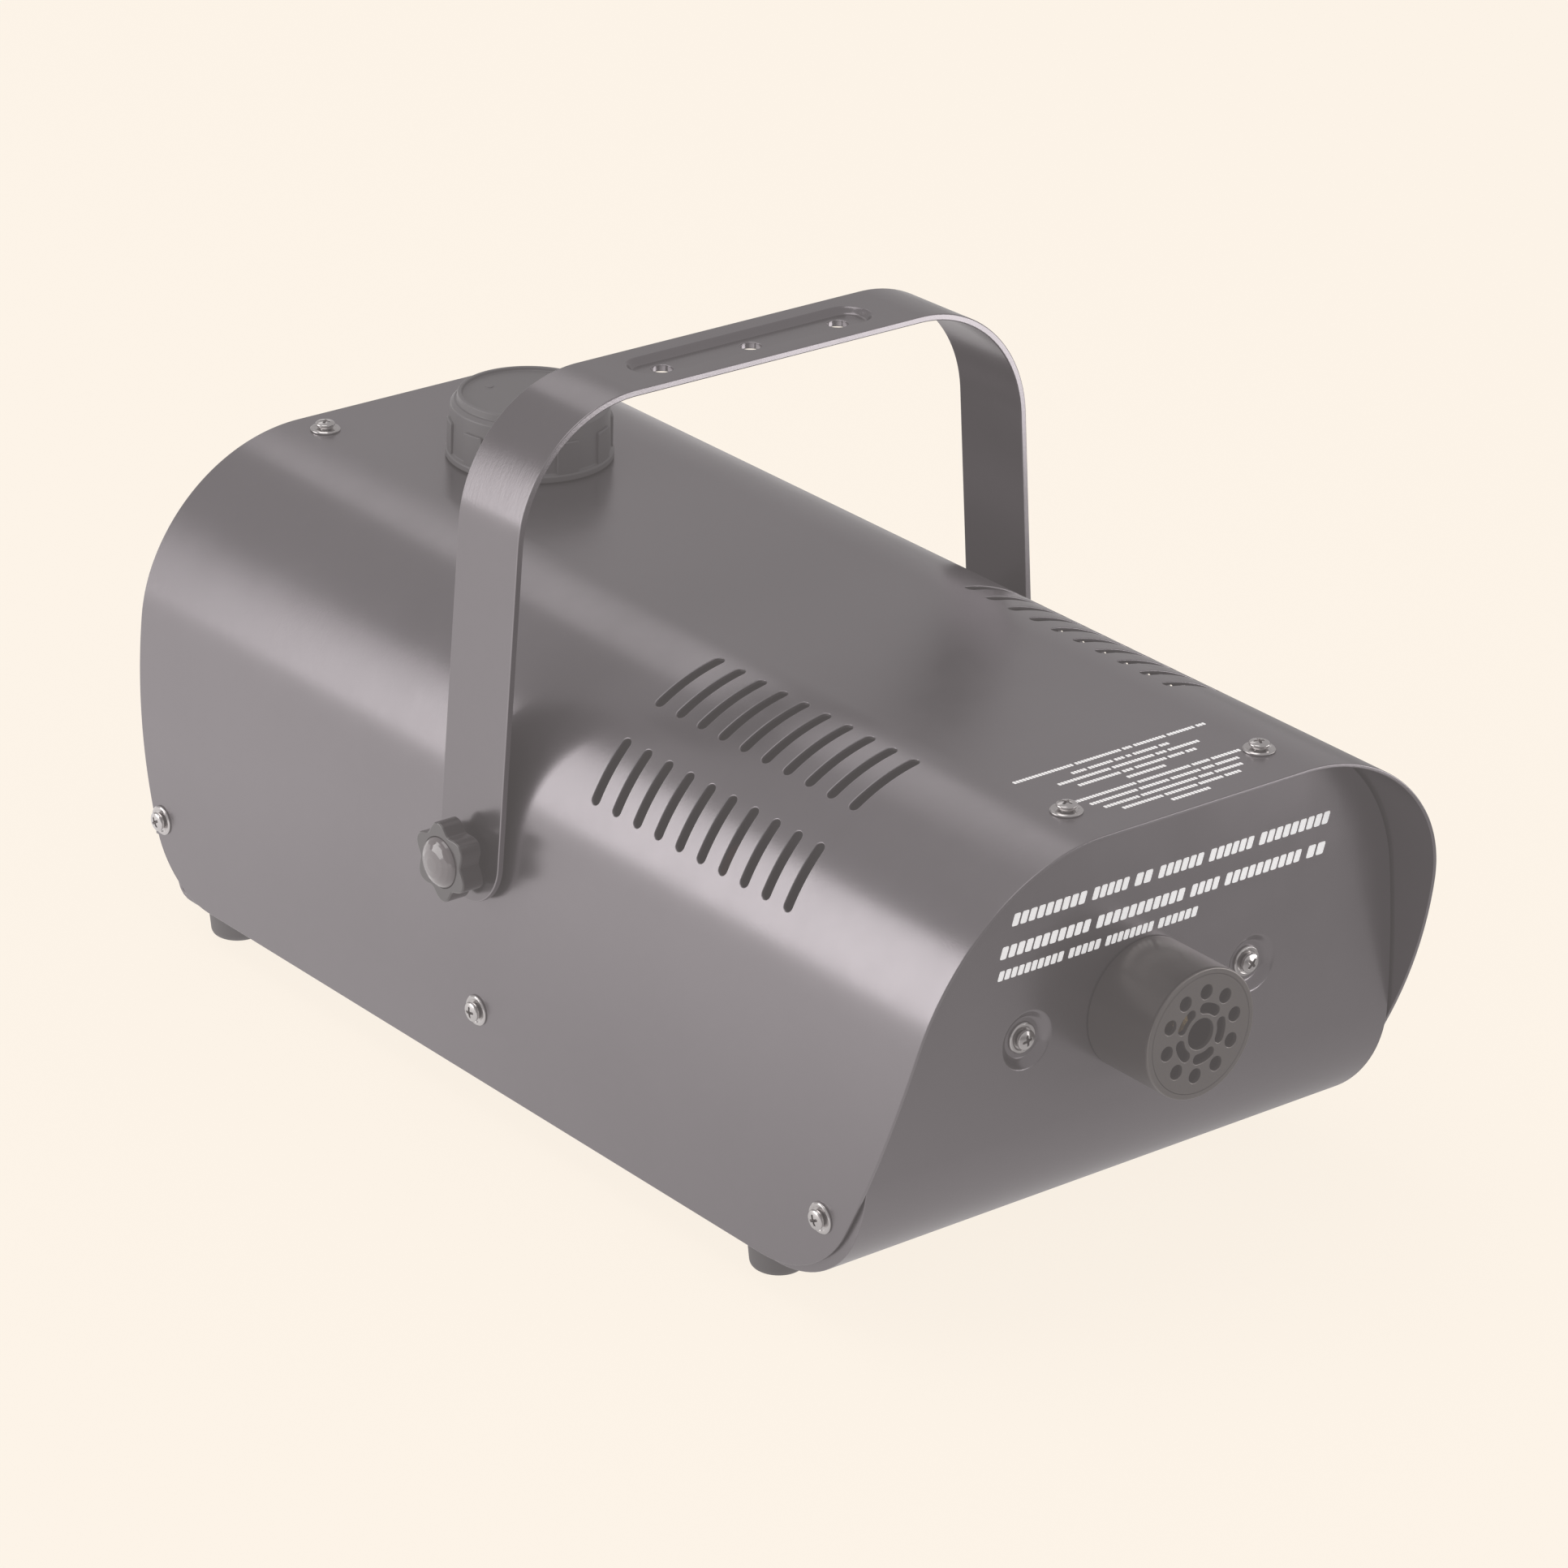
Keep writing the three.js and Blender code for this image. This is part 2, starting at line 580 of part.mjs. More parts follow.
// ---- tank and cap ----
function fluidTank() {
  const { halfX, front, rear, bottom, top, wall } = TANK;
  const middle = (front + rear) / 2;
  const halfY = (rear - front) / 2;
  const outer = prismZ(shifted(roundedBox(halfX, halfY, 10), 0, middle), bottom, top);
  const inner = prismZ(shifted(roundedBox(halfX - wall, halfY - wall, 8), 0, middle),
    bottom + wall, top - wall);
  const floor = TRAY_BOTTOM + TRAY_T + GAP;
  const feet = [-50, 50].map((x) => box(x - 10, x + 10, front + 3, front + 48, floor, bottom + 1));
  const neck = rod('z', top - 1, NECK_TOP, [CAP_X, CAP_Y], NECK_R, NECK_R, 28);
  const bore = rod('z', top - wall - 1, NECK_TOP + 1, [CAP_X, CAP_Y], NECK_BORE_R, NECK_BORE_R, 28);
  const port = rod('z', top - wall - 1, top + 1, [PORT.x, PORT.y], PORT.r, PORT.r, 16);
  return cut(join(outer, neck, ...feet), inner, bore, port);
}

function pickupFilter() {
  const profile = [[HOSE_R + GAP, 4], [8, 4], [8, 16], [HOSE_R + GAP, 16], [HOSE_R + GAP, 4]];
  return turned(profile, 16).translate([PORT.x, PORT.y, TANK.bottom + TANK.wall + 1]);
}

function capSeal() {
  const profile = [[15.5, 0], [NECK_R - 0.6, 0], [NECK_R - 0.6, 1.4], [15.5, 1.4], [15.5, 0]];
  return turned(profile, 20).translate([CAP_X, CAP_Y, NECK_TOP + GAP]);
}

function capProfile() {
  const inside = NECK_TOP + 1.4 + 2 * GAP;
  return [
    [0, inside], [NECK_R + 0.8, inside], [NECK_R + 0.8, CAP_BOTTOM], [CAP_R + 0.9, CAP_BOTTOM],
    [CAP_R + 0.9, CAP_BOTTOM + 2], [CAP_R - 0.3, CAP_BOTTOM + 2.6], [CAP_R - 0.5, CAP_TOP - 3.2],
    [CAP_R - 1.4, CAP_TOP - 1.6], [CAP_R - 2.4, CAP_TOP - 1.4], [CAP_R - 2.8, CAP_TOP],
    [CAP_R - 4, CAP_TOP], [CAP_R - 4.8, CAP_TOP - 1.2], [0, CAP_TOP - 1.2],
  ];
}

function tankCap() {
  const ribs = Array.from({ length: CAP_RIBS }, (_, i) => {
    const pad = box(CAP_R - 1.5, CAP_R + 0.3, -3.8, 3.8, CAP_BOTTOM + 2, CAP_TOP - 5);
    return pad.rotate([0, 0, 8.8 + (360 * i) / CAP_RIBS]);
  });
  return join(turned(capProfile(), 28), ...ribs).translate([CAP_X, CAP_Y, 0]);
}

// ---- bracket, knobs and studs ----
function bracketHalf(inset) {
  const lean = Math.atan(LEG_LEAN);
  const topX = LEG_OUT - LEG_LEAN * (BRACKET_TOP - PIVOT.z);
  const bendR = BRACKET_BEND_R - inset;
  const bendX = topX - BRACKET_BEND_R * (1 - Math.tan(lean / 2));
  const foot = LEG_OUT + LEG_LEAN * (STRIP_W / 2 + 1) - inset / Math.cos(lean);
  return [
    [foot, PIVOT.z - STRIP_W / 2 - 1],
    ...arc(bendX, BRACKET_TOP - BRACKET_BEND_R, bendR, lean, Math.PI / 2, 9),
  ];
}

function bracketSection() {
  const outer = bracketHalf(0);
  const inner = bracketHalf(STRIP_T);
  const mirrored = (points) => points.map(([x, z]) => [-x, z]).reverse();
  return [...outer, ...mirrored(outer), ...mirrored(inner).reverse(), ...[...inner].reverse()];
}

function bracket() {
  const halfW = STRIP_W / 2;
  const strip = prismY(bracketSection(), PIVOT.y - halfW, PIVOT.y + halfW);
  const outline = [
    [PIVOT.y + halfW, BRACKET_TOP + 1], [PIVOT.y - halfW, BRACKET_TOP + 1],
    ...arc(PIVOT.y, PIVOT.z, halfW, Math.PI, 2 * Math.PI, 10),
  ];
  const channelLow = BRACKET_TOP - STRIP_T - CHANNEL.depth;
  const pocket = shifted(stadium(2 * CHANNEL.half, CHANNEL.width, 5), 0, PIVOT.y);
  const bulge = shifted(stadium(2 * CHANNEL.half + 2.4, CHANNEL.width + 2.4, 5), 0, PIVOT.y);
  const rounded = strip.intersect(prismX(outline, -130, 130));
  const pressed = cut(
    join(rounded, prismZ(bulge, channelLow, BRACKET_TOP - 1)),
    prismZ(pocket, BRACKET_TOP - CHANNEL.depth, BRACKET_TOP + 1),
  );
  const holes = [-HANG_HOLE_PITCH, 0, HANG_HOLE_PITCH].map((x) =>
    rod('z', channelLow - 1, BRACKET_TOP + 1, [x, PIVOT.y], HANG_HOLE_R, HANG_HOLE_R, 16));
  holes.push(rod('x', -130, 130, [PIVOT.y, PIVOT.z], STUD_R + 0.5, STUD_R + 0.5, 16));
  return cut(pressed, ...holes).translate([0, -PIVOT.y, -PIVOT.z])
    .rotate([-BRACKET_REST, 0, 0]).translate([0, PIVOT.y, PIVOT.z]);
}

function starOutline() {
  const steps = KNOB_LOBES * 6;
  return Array.from({ length: steps }, (_, i) => {
    const a = (2 * Math.PI * i) / steps;
    const r = KNOB_R + KNOB_LOBE * Math.cos(KNOB_LOBES * (a - KNOB_PHASE));
    return [r * Math.cos(a), r * Math.sin(a)];
  });
}

// Knob with its axis along +X from the pivot, for the +X side.
function knob() {
  const star = prismX(starOutline(), KNOB_BACK, KNOB_FACE);
  const hub = rod('x', KNOB_IN, KNOB_BACK + 1, [0, 0], 8, 8, 20);
  const dishR = KNOB_CAP_R + 0.4;
  const dish = rod('x', KNOB_FACE - 1.2, KNOB_FACE + 1, [0, 0], dishR, dishR, 24);
  const bore = rod('x', KNOB_IN - 1, KNOB_FACE - 4, [0, 0], STUD_R + CLEAR, STUD_R + CLEAR, 20);
  return cut(join(star, hub), dish, bore);
}

function knobCap() {
  const profile = [[0, 0], [KNOB_CAP_R, 0], [KNOB_CAP_R, 1.2], [6.6, 2.6], [3.8, 3.6], [0, 4.1]];
  return turned(profile, 24).rotate([0, 90, 0]).translate([KNOB_FACE - 1.2 + GAP, 0, 0]);
}

function knobStud() {
  const wallIn = sectionX(COVER_T, PIVOT.z);
  return join(
    rod('x', wallIn - 6, wallIn - 1.3, [0, 0], 5.5, 5.5, 6),
    rod('x', wallIn - 2, KNOB_FACE - 5, [0, 0], STUD_R, STUD_R, 16),
  );
}

function frictionWasher() {
  const wallOut = sectionX(0, PIVOT.z - 8) + GAP;
  const legIn = LEG_OUT - STRIP_T - 0.5;
  return cut(rod('x', wallOut, legIn - LEG_LEAN * 8, [0, 0], 8, 8, 20),
    rod('x', wallOut - 1, legIn + 1, [0, 0], STUD_R + CLEAR, STUD_R + CLEAR, 16));
}

// ---- fasteners and feet ----
// Screw along +Z with its washer's underside at z = 0.
function screw(length) {
  return turned([
    [0, -length], [SCREW_R, -length], [SCREW_R, 0], [WASHER_R, 0], [WASHER_R, WASHER_T],
    [HEAD_R, WASHER_T], [HEAD_R * 0.85, WASHER_T + HEAD_H * 0.7], [0, WASHER_T + HEAD_H],
  ], 10);
}

function foot() {
  const profile = [
    [0, 3], [3.6, 3], [3.6, 0], [7, 0], [7.8, 0.8], [9.6, FOOT_H], [0, FOOT_H],
  ];
  return turned(profile, 14);
}

// ---- electrics ----
function circuitBoard() {
  const floor = TRAY_BOTTOM + TRAY_T + GAP;
  const posts = [[24, -14], [80, -14], [24, 68], [80, 68]].map(([x, y]) =>
    rod('z', floor, 24.5, [x, y], 3, 3, 10));
  return join(box(18, 86, -20, 74, 24, 25.6), ...posts);
}

function boardTransformer() {
  const base = 25.6 + GAP;
  return join(box(28, 60, 2, 36, base, base + 6), box(33, 55, -2, 40, base + 5, base + 26),
    box(28, 60, 2, 36, base + 25, base + 31));
}

function boardRelay() {
  const base = 25.6 + GAP;
  return prismZ(shifted(roundedBox(8, 14, 1), 74, 20), base, base + 18);
}

function terminalBlock() {
  const base = TRAY_BOTTOM + TRAY_T + GAP;
  const body = box(-14, 0, -30, 34, base, base + 14);
  const ways = [0, 1, 2, 3, 4].map((i) =>
    rod('z', base + 9, base + 16, [-7, -22 + i * 12], 2.4, 2.4, 10));
  return cut(body, ...ways);
}

function mainsInlet() {
  const wall = REAR_WALL + GAP;
  const at = (outline) => shifted(outline, INLET_X, FITTING_Z);
  const lozenge = [[-25, 0], [-17, -12], [17, -12], [25, 0], [17, 12], [-17, 12]];
  const mouth = [[-12, -8], [12, -8], [12, 4], [8, 8], [-8, 8], [-12, 4]];
  const flange = prismY(at(lozenge), wall, wall + 3);
  const body = prismY(at(roundedBox(13.6, 9.8, 2)), wall - 17, wall + 1);
  const socket = prismY(at(mouth), wall - 14, wall + 4);
  const pins = [[-7, -2], [7, -2], [0, 3]].map(([x, z]) =>
    box(INLET_X + x - 1, INLET_X + x + 1, wall - 15, wall, FITTING_Z + z - 2, FITTING_Z + z + 2));
  return join(cut(join(flange, body), socket), ...pins);
}

function fuseHolder() {
  const wall = REAR_WALL + GAP;
  const at = [FUSE_X, FITTING_Z];
  const collar = rod('y', wall, wall + 2.5, at, 8.5, 8.5, 20);
  const barrel = rod('y', wall - 16, wall + 1, at, 6, 6, 20);
  return cut(join(collar, barrel), rod('y', wall - 14, wall + 4, at, 4.6, 4.6, 16));
}

function fuseCap() {
  const wall = REAR_WALL + GAP;
  const at = [FUSE_X, FITTING_Z];
  const knobY = wall + 2.5 + GAP;
  const grip = rod('y', knobY, knobY + 4.5, at, 7, 6.4, 16);
  const carrier = rod('y', wall - 12, knobY + 1, at, 4.1, 4.1, 16);
  const slot = box(FUSE_X - 5, FUSE_X + 5, knobY + 3, knobY + 6, FITTING_Z - 0.8, FITTING_Z + 0.8);
  return cut(join(grip, carrier), slot);
}

function switchBody() {
  const wall = REAR_WALL + GAP;
  const at = (outline) => shifted(outline, SWITCH_X, FITTING_Z);
  const bezel = prismY(at(roundedBox(12, 9, 1.5)), wall, wall + 2);
  const housing = prismY(at(roundedBox(9.6, 6.6, 1)), wall - 15, wall + 1);
  return cut(join(bezel, housing), prismY(at(roundedBox(8.4, 5.4, 0.6)), wall - 9, wall + 3));
}

const ROCKER = { y: REAR_WALL + GAP - 1.5, half: 7.9, tilt: -8 };

// Drawn level about its own pivot, then tipped to its off position.
function switchRocker() {
  const face = 4.6;
  const level = prismZ([
    [-ROCKER.half, 1], [0, -4], [ROCKER.half, 1],
    [ROCKER.half - 0.6, face], [0, face - 1.7], [-ROCKER.half + 0.6, face],
  ], FITTING_Z - 5, FITTING_Z + 5);
  return level.rotate([0, 0, ROCKER.tilt]).translate([SWITCH_X, ROCKER.y, 0]);
}

function remoteSocket() {
  const wall = REAR_WALL + GAP;
  const at = [REMOTE_X, FITTING_Z];
  const flange = prismY(shifted(roundedBox(13, 15.5, 3), REMOTE_X, FITTING_Z), wall, wall + 2);
  const barrel = rod('y', wall - 14, wall + 1, at, 11, 11, 24);
  const cup = cut(join(flange, barrel), rod('y', wall - 11, wall + 3, at, 9, 9, 24));
  const pins = [90, 210, 330].map(rad).map((a) =>
    rod('y', wall - 12, wall - 2, [at[0] + 5.2 * Math.cos(a), at[1] + 5.2 * Math.sin(a)], 1.2, 1.2, 8));
  return join(cup, ...pins);
}

// ---- materials ----
const paint = { color: 0x6f6c6d, roughness: 0.42, metalness: 0.4 };
const strip = { color: 0x77757a, roughness: 0.36, metalness: 0.7 };
const blackPlastic = { color: 0x4a4746, roughness: 0.5, metalness: 0 };
const glossPlastic = { color: 0x55504f, roughness: 0.2, metalness: 0 };
const nickel = { color: 0xb9b6b2, roughness: 0.25, metalness: 1 };
const steel = { color: 0x9a9a9c, roughness: 0.4, metalness: 0.9 };
const aluminium = { color: 0xb4b5b8, roughness: 0.5, metalness: 0.9 };
const brass = { color: 0xb08d4a, roughness: 0.35, metalness: 1 };
const rubber = { color: 0x3c3a3a, roughness: 0.85, metalness: 0 };
const tankPlastic = { color: 0xe4e2dc, roughness: 0.5, metalness: 0 };
const silicone = { color: 0xd9d4cc, roughness: 0.6, metalness: 0 };
const board = { color: 0x2f6b46, roughness: 0.6, metalness: 0 };

// ---- assembly ----
const machine = new THREE.Group();

function place(name, manifold, look, parent = machine) {
  const mesh = new THREE.Mesh(geometryOf(manifold), new THREE.MeshStandardMaterial(look));
  mesh.name = name;
  parent.add(mesh);
  return mesh;
}

function placeScrew(name, length, position, direction) {
  const mesh = place(name, screw(length), nickel);
  mesh.position.set(...position);
  mesh.quaternion.setFromUnitVectors(new THREE.Vector3(0, 0, 1), new THREE.Vector3(...direction));
}

function placeCoverScrews() {
  for (const [side, label] of [[-1, 'left'], [1, 'right']]) {
    for (const [end, y] of Object.entries(TOP_SCREW_YS)) {
      const top = [side * TOP_SCREW_X, y, COVER_TOP + GAP];
      placeScrew(`top_screw_${end}_${label}`, SCREW_LENGTH, top, [0, 0, 1]);
    }
    for (const [end, y] of Object.entries(SIDE_SCREW_YS)) {
      const x = side * (SIDE_CENTRE.x + SIDE_R + GAP);
      placeScrew(`side_screw_${end}_${label}`, SCREW_LENGTH, [x, y, SIDE_SCREW_Z], [side, 0, 0]);
    }
    const floor = FRONT_WALL + DIMPLE_DEPTH - GAP;
    placeScrew(`panel_screw_${label}`, SCREW_LENGTH, [side * DIMPLE_X, floor, AXIS_Z], [0, -1, 0]);
  }
}

// The -X side is the +X side turned half a turn about the vertical through the pivot.
function placeKnobs() {
  for (const [turn, label] of [[Math.PI, 'left'], [0, 'right']]) {
    const side = new THREE.Group();
    side.position.set(0, PIVOT.y, PIVOT.z);
    side.rotation.z = turn;
    machine.add(side);
    place(`knob_${label}`, knob(), blackPlastic, side);
    place(`knob_cap_${label}`, knobCap(), glossPlastic, side);
    place(`knob_stud_${label}`, knobStud(), nickel, side);
    place(`friction_washer_${label}`, frictionWasher(), rubber, side);
  }
}

function placeFeet() {
  for (const [side, label] of [[-1, 'left'], [1, 'right']]) {
    for (const [end, y] of Object.entries(FOOT_YS)) {
      const mesh = place(`foot_${end}_${label}`, foot(), rubber);
      mesh.position.set(side * FOOT_X, y, 0);
    }
  }
}

place('top_cover', topCover(), paint);
place('base_tray', baseTray(), paint);
place('nozzle_shroud', nozzleShroud(), blackPlastic);
place('nozzle_jet', nozzleJet(), brass);
place('heater_block_upper', heaterHalf(true), aluminium);
place('heater_block_lower', heaterHalf(false), aluminium);
place('heater_tube', tubeAlong('y', -166, -36, [0, AXIS_Z], 3, 1.8), steel);
for (const [x, label] of [[-20, 'left'], [20, 'right']]) {
  const element = rod('y', BLOCK.front + 2, BLOCK.rear + 8, [x, AXIS_Z - 11], 4.8, 4.8, 16);
  place(`cartridge_heater_${label}`, element, steel);
}
place('heater_front_bracket', heaterFrontBracket(), steel);
place('heater_rear_saddle', heaterRearSaddle(), steel);
place('heat_shield', heatShield(), aluminium);
place('thermostat', thermostat(), steel);
place('thermal_fuse', thermalFuse(), steel);
place('pump_coil', pumpCoil(), blackPlastic);
place('pump_body', pumpBody(), brass);
place('pump_plunger', pumpPlunger(), steel);
place('pump_bracket', pumpBracket(), steel);
place('pump_outlet', pumpOutlet(), brass);
place('suction_hose', suctionHose(), silicone);
place('pressure_hose', pressureHose(), silicone);
place('fluid_tank', fluidTank(), tankPlastic);
place('pickup_filter', pickupFilter(), blackPlastic);
place('cap_seal', capSeal(), rubber);
place('tank_cap', tankCap(), blackPlastic);
place('bracket', bracket(), strip);
placeKnobs();
placeCoverScrews();
placeFeet();
place('circuit_board', circuitBoard(), board);
place('board_transformer', boardTransformer(), blackPlastic);
place('board_relay', boardRelay(), blackPlastic);
place('terminal_block', terminalBlock(), tankPlastic);
place('mains_inlet', mainsInlet(), blackPlastic);
place('fuse_holder', fuseHolder(), blackPlastic);
place('fuse_cap', fuseCap(), blackPlastic);
place('switch_body', switchBody(), blackPlastic);
place('switch_rocker', switchRocker(), glossPlastic);
place('remote_socket', remoteSocket(), blackPlastic);

export default machine;
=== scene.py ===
"""Fog machine: the detailed visual model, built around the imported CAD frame.

Shapes are built in millimetres in the row frame (nozzle along -Y, +Z up) and scaled to metres
when their mesh is made. Sheet-metal pieces are flat outlines carried onto a curved surface.
"""
import json
import math

import bpy
from mathutils import Matrix, Vector
from mathutils.geometry import delaunay_2d_cdt


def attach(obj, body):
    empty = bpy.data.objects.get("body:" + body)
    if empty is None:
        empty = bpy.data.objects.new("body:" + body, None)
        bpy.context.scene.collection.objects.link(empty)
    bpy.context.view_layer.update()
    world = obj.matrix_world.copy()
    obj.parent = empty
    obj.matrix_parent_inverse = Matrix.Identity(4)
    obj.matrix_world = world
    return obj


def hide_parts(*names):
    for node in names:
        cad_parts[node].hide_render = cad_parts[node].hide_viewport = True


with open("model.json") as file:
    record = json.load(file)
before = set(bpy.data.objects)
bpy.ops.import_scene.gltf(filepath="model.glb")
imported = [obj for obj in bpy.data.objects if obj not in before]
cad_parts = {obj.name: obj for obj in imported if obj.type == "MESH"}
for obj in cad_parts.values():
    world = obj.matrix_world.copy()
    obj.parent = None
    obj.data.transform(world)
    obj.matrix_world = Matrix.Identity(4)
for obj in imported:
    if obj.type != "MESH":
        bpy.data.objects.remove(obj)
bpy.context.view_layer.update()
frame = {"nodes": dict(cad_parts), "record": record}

MM = 0.001
TAU = 2 * math.pi


def rad(degrees):
    return math.radians(degrees)


# ---- dimensions shared with the CAD, in millimetres ----
COVER_TOP = 158
COVER_BOTTOM = 12
COVER_T = 1.2
COVER_FRONT = -198.5
COVER_REAR = 201.5
FLAT_HALF = 39.3
SHOULDER_R = 63.3
SHOULDER_TURN = rad(82.3)
SIDE_R = 390
FRONT_ARC_R = 255
FRONT_CORNER_R = 46
REAR_ARC_R = 320
REAR_ARC_TOP = 123
REAR_CORNER_R = 28
SLOT_TURNS = ((20.3, 27.0), (54.6, 22.6))
SLOT_COUNT = 10
SLOT_PITCH = 10.2
SLOT_REAR_Y = -34
SLOT_WIDTH = 3.6

TRAY_T = 1.5
TRAY_INSET = 1.8
TRAY_BOTTOM = 10.8
FRONT_WALL = -174.8
REAR_WALL = 181
FRONT_BEND_R = 43.5
REAR_BEND_R = 6
FLANGE_TOP = 50

SCREW_HOLE_R = 2.35
TOP_SCREW_X = 37.6
TOP_SCREW_YS = {"front": -179.5, "rear": 188.4}
SIDE_SCREW_Z = 37.2
SIDE_SCREW_YS = {"front": -156.7, "middle": 11.8, "rear": 184.9}
SIDES = {"left": -1, "right": 1}

AXIS_Z = 84.5
NOZZLE_R = 21
NOZZLE_FACE = -201.5
NOZZLE_WALL = 1.6
DIMPLE_X = 44.4
DIMPLE_DEPTH = 2.5

PIVOT_Y = 13.5
PIVOT_Z = 90.5
STRIP_W = 30
STRIP_T = 2.2
BRACKET_TOP = 234.4
LEG_OUT = 109.4
LEG_LEAN = 0.073
BRACKET_BEND_R = 44.7
BRACKET_REST = 1.1
HANG_HOLE_R = 3.4
HANG_HOLE_PITCH = 34.5

CAP_X = 4
CAP_Y = 132.8
CAP_BOTTOM = 158.5
CAP_TOP = 180.2
FITTING_Z = 56
INLET_X = -58
FUSE_X = -20
SWITCH_X = 12
REMOTE_X = 54


# ---- plane geometry ----
def circle(radius, count, centre=(0, 0), start=0.0):
    cx, cy = centre
    return [
        (cx + radius * math.cos(start + TAU * i / count), cy + radius * math.sin(start + TAU * i / count))
        for i in range(count)
    ]


def arc(cx, cy, radius, a0, a1, steps):
    angles = [a0 + (a1 - a0) * i / steps for i in range(steps + 1)]
    return [(cx + radius * math.cos(a), cy + radius * math.sin(a)) for a in angles]


def subdivide(points, step, closed=True):
    """The same outline with no side longer than step."""
    out = []
    count = len(points) if closed else len(points) - 1
    for i in range(count):
        ax, ay = points[i]
        bx, by = points[(i + 1) % len(points)]
        pieces = max(1, math.ceil(math.hypot(bx - ax, by - ay) / step))
        out += [(ax + (bx - ax) * k / pieces, ay + (by - ay) * k / pieces) for k in range(pieces)]
    return out if closed else out + [points[-1]]


def stadium(half, radius, steps=10, along="u", centre=(0, 0)):
    """Round-ended slot; half is from its middle to the centre of an end."""
    points = arc(half, 0, radius, -math.pi / 2, math.pi / 2, steps)
    points += arc(-half, 0, radius, math.pi / 2, 3 * math.pi / 2, steps)
    if along == "v":
        points = [(-y, x) for x, y in points]
    return [(x + centre[0], y + centre[1]) for x, y in points]


def rounded_box(half_w, half_h, radius, steps=6, centre=(0, 0)):
    points = []
    for k, (sx, sy) in enumerate(((1, -1), (1, 1), (-1, 1), (-1, -1))):
        a0 = -math.pi / 2 + k * math.pi / 2
        points += arc(sx * (half_w - radius) + centre[0], sy * (half_h - radius) + centre[1], radius,
                      a0, a0 + math.pi / 2, steps)
    return points


def round_corners(points, radii, steps=5):
    """Replaces each corner of a closed outline with an arc."""
    count = len(points)
    if not isinstance(radii, (list, tuple)):
        radii = [radii] * count
    out = []
    for i, radius in enumerate(radii):
        p = Vector(points[i])
        to_a = Vector(points[i - 1]) - p
        to_b = Vector(points[(i + 1) % count]) - p
        reach = min(to_a.length, to_b.length) * 0.49
        half = to_a.angle(to_b) / 2
        cut = min(radius / math.tan(half), reach)
        if radius <= 0 or cut < 1e-4:
            out.append(tuple(p))
            continue
        a = p + to_a.normalized() * cut
        b = p + to_b.normalized() * cut
        for k in range(steps + 1):
            t = k / steps
            out.append(tuple(a * (1 - t) ** 2 + p * 2 * t * (1 - t) + b * t ** 2))
    return out


def signed_area(loop):
    return sum(loop[i - 1][0] * p[1] - p[0] * loop[i - 1][1] for i, p in enumerate(loop)) / 2


def inside(point, loop):
    x, y = point
    hit = False
    for i, (bx, by) in enumerate(loop):
        ax, ay = loop[i - 1]
        if (ay > y) != (by > y) and x < (bx - ax) * (y - ay) / (by - ay) + ax:
            hit = not hit
    return hit


def inward(loop):
    """Mitred unit steps towards the material, which lies left of the direction of travel."""
    steps = []
    count = len(loop)
    for i, p in enumerate(loop):
        a = Vector(p) - Vector(loop[i - 1])
        b = Vector(loop[(i + 1) % count]) - Vector(p)
        na = Vector((-a.y, a.x)).normalized()
        nb = Vector((-b.y, b.x)).normalized()
        m = na + nb
        m = m.normalized() if m.length > 1e-6 else na
        steps.append(m / max(m.dot(na), 0.5))
    return steps


def smooth_step(low, high, value):
    t = min(max((value - low) / (high - low), 0.0), 1.0)
    return t * t * (3 - 2 * t)


class Track:
    """A plane path of straight runs and arcs, measured along its length."""

    def __init__(self, start, heading, parts):
        self.runs = []
        a, b = start
        s = 0.0
        for length, turn in parts:
            self.runs.append((s, length, turn, a, b, heading))
            a, b = self.move(a, b, heading, length, turn, length)
            heading += turn
            s += length
        self.length = s

    @staticmethod
    def move(a, b, heading, length, turn, d):
        if abs(turn) < 1e-9:
            return a + d * math.cos(heading), b + d * math.sin(heading)
        radius = length / turn
        now = heading + turn * d / length
        return (a + radius * (math.sin(now) - math.sin(heading)),
                b - radius * (math.cos(now) - math.cos(heading)))

    def at(self, s):
        run = self.runs[0]
        for candidate in self.runs:
            if s >= candidate[0]:
                run = candidate
        s0, length, turn, a, b, heading = run
        return self.move(a, b, heading, length, turn, s - s0)

    def arcs(self, step_turn, mirror=False):
        """Lengths at which to crease the mesh so that each arc is followed."""
        marks = []
        for s0, length, turn, *_ in self.runs:
            pieces = max(1, math.ceil(abs(turn) / step_turn))
            if abs(turn) > 1e-9:
                marks += [s0 + length * k / pieces for k in range(pieces + 1)]
        return sorted(set(marks + ([-m for m in marks] if mirror else [])))


# ---- parts of a mesh: vertices, faces, normals and how much each vertex is an edge ----
class Part:
    def __init__(self):
        self.verts, self.faces, self.normals, self.edge = [], [], [], []

    def vert(self, co, normal, edge=0.0):
        self.verts.append(Vector(co))
        self.normals.append(Vector(normal).normalized())
        self.edge.append(edge)
        return len(self.verts) - 1

    def add(self, other):
        base = len(self.verts)
        self.verts += other.verts
        self.normals += other.normals
        self.edge += other.edge
        self.faces += [tuple(i + base for i in f) for f in other.faces]
        return self

    def moved(self, matrix):
        out = Part()
        turn = matrix.to_3x3()
        out.verts = [matrix @ v for v in self.verts]
        out.normals = [(turn @ n).normalized() for n in self.normals]
        out.edge = list(self.edge)
        flip = turn.determinant() < 0
        out.faces = [tuple(reversed(f)) if flip else f for f in self.faces]
        return out


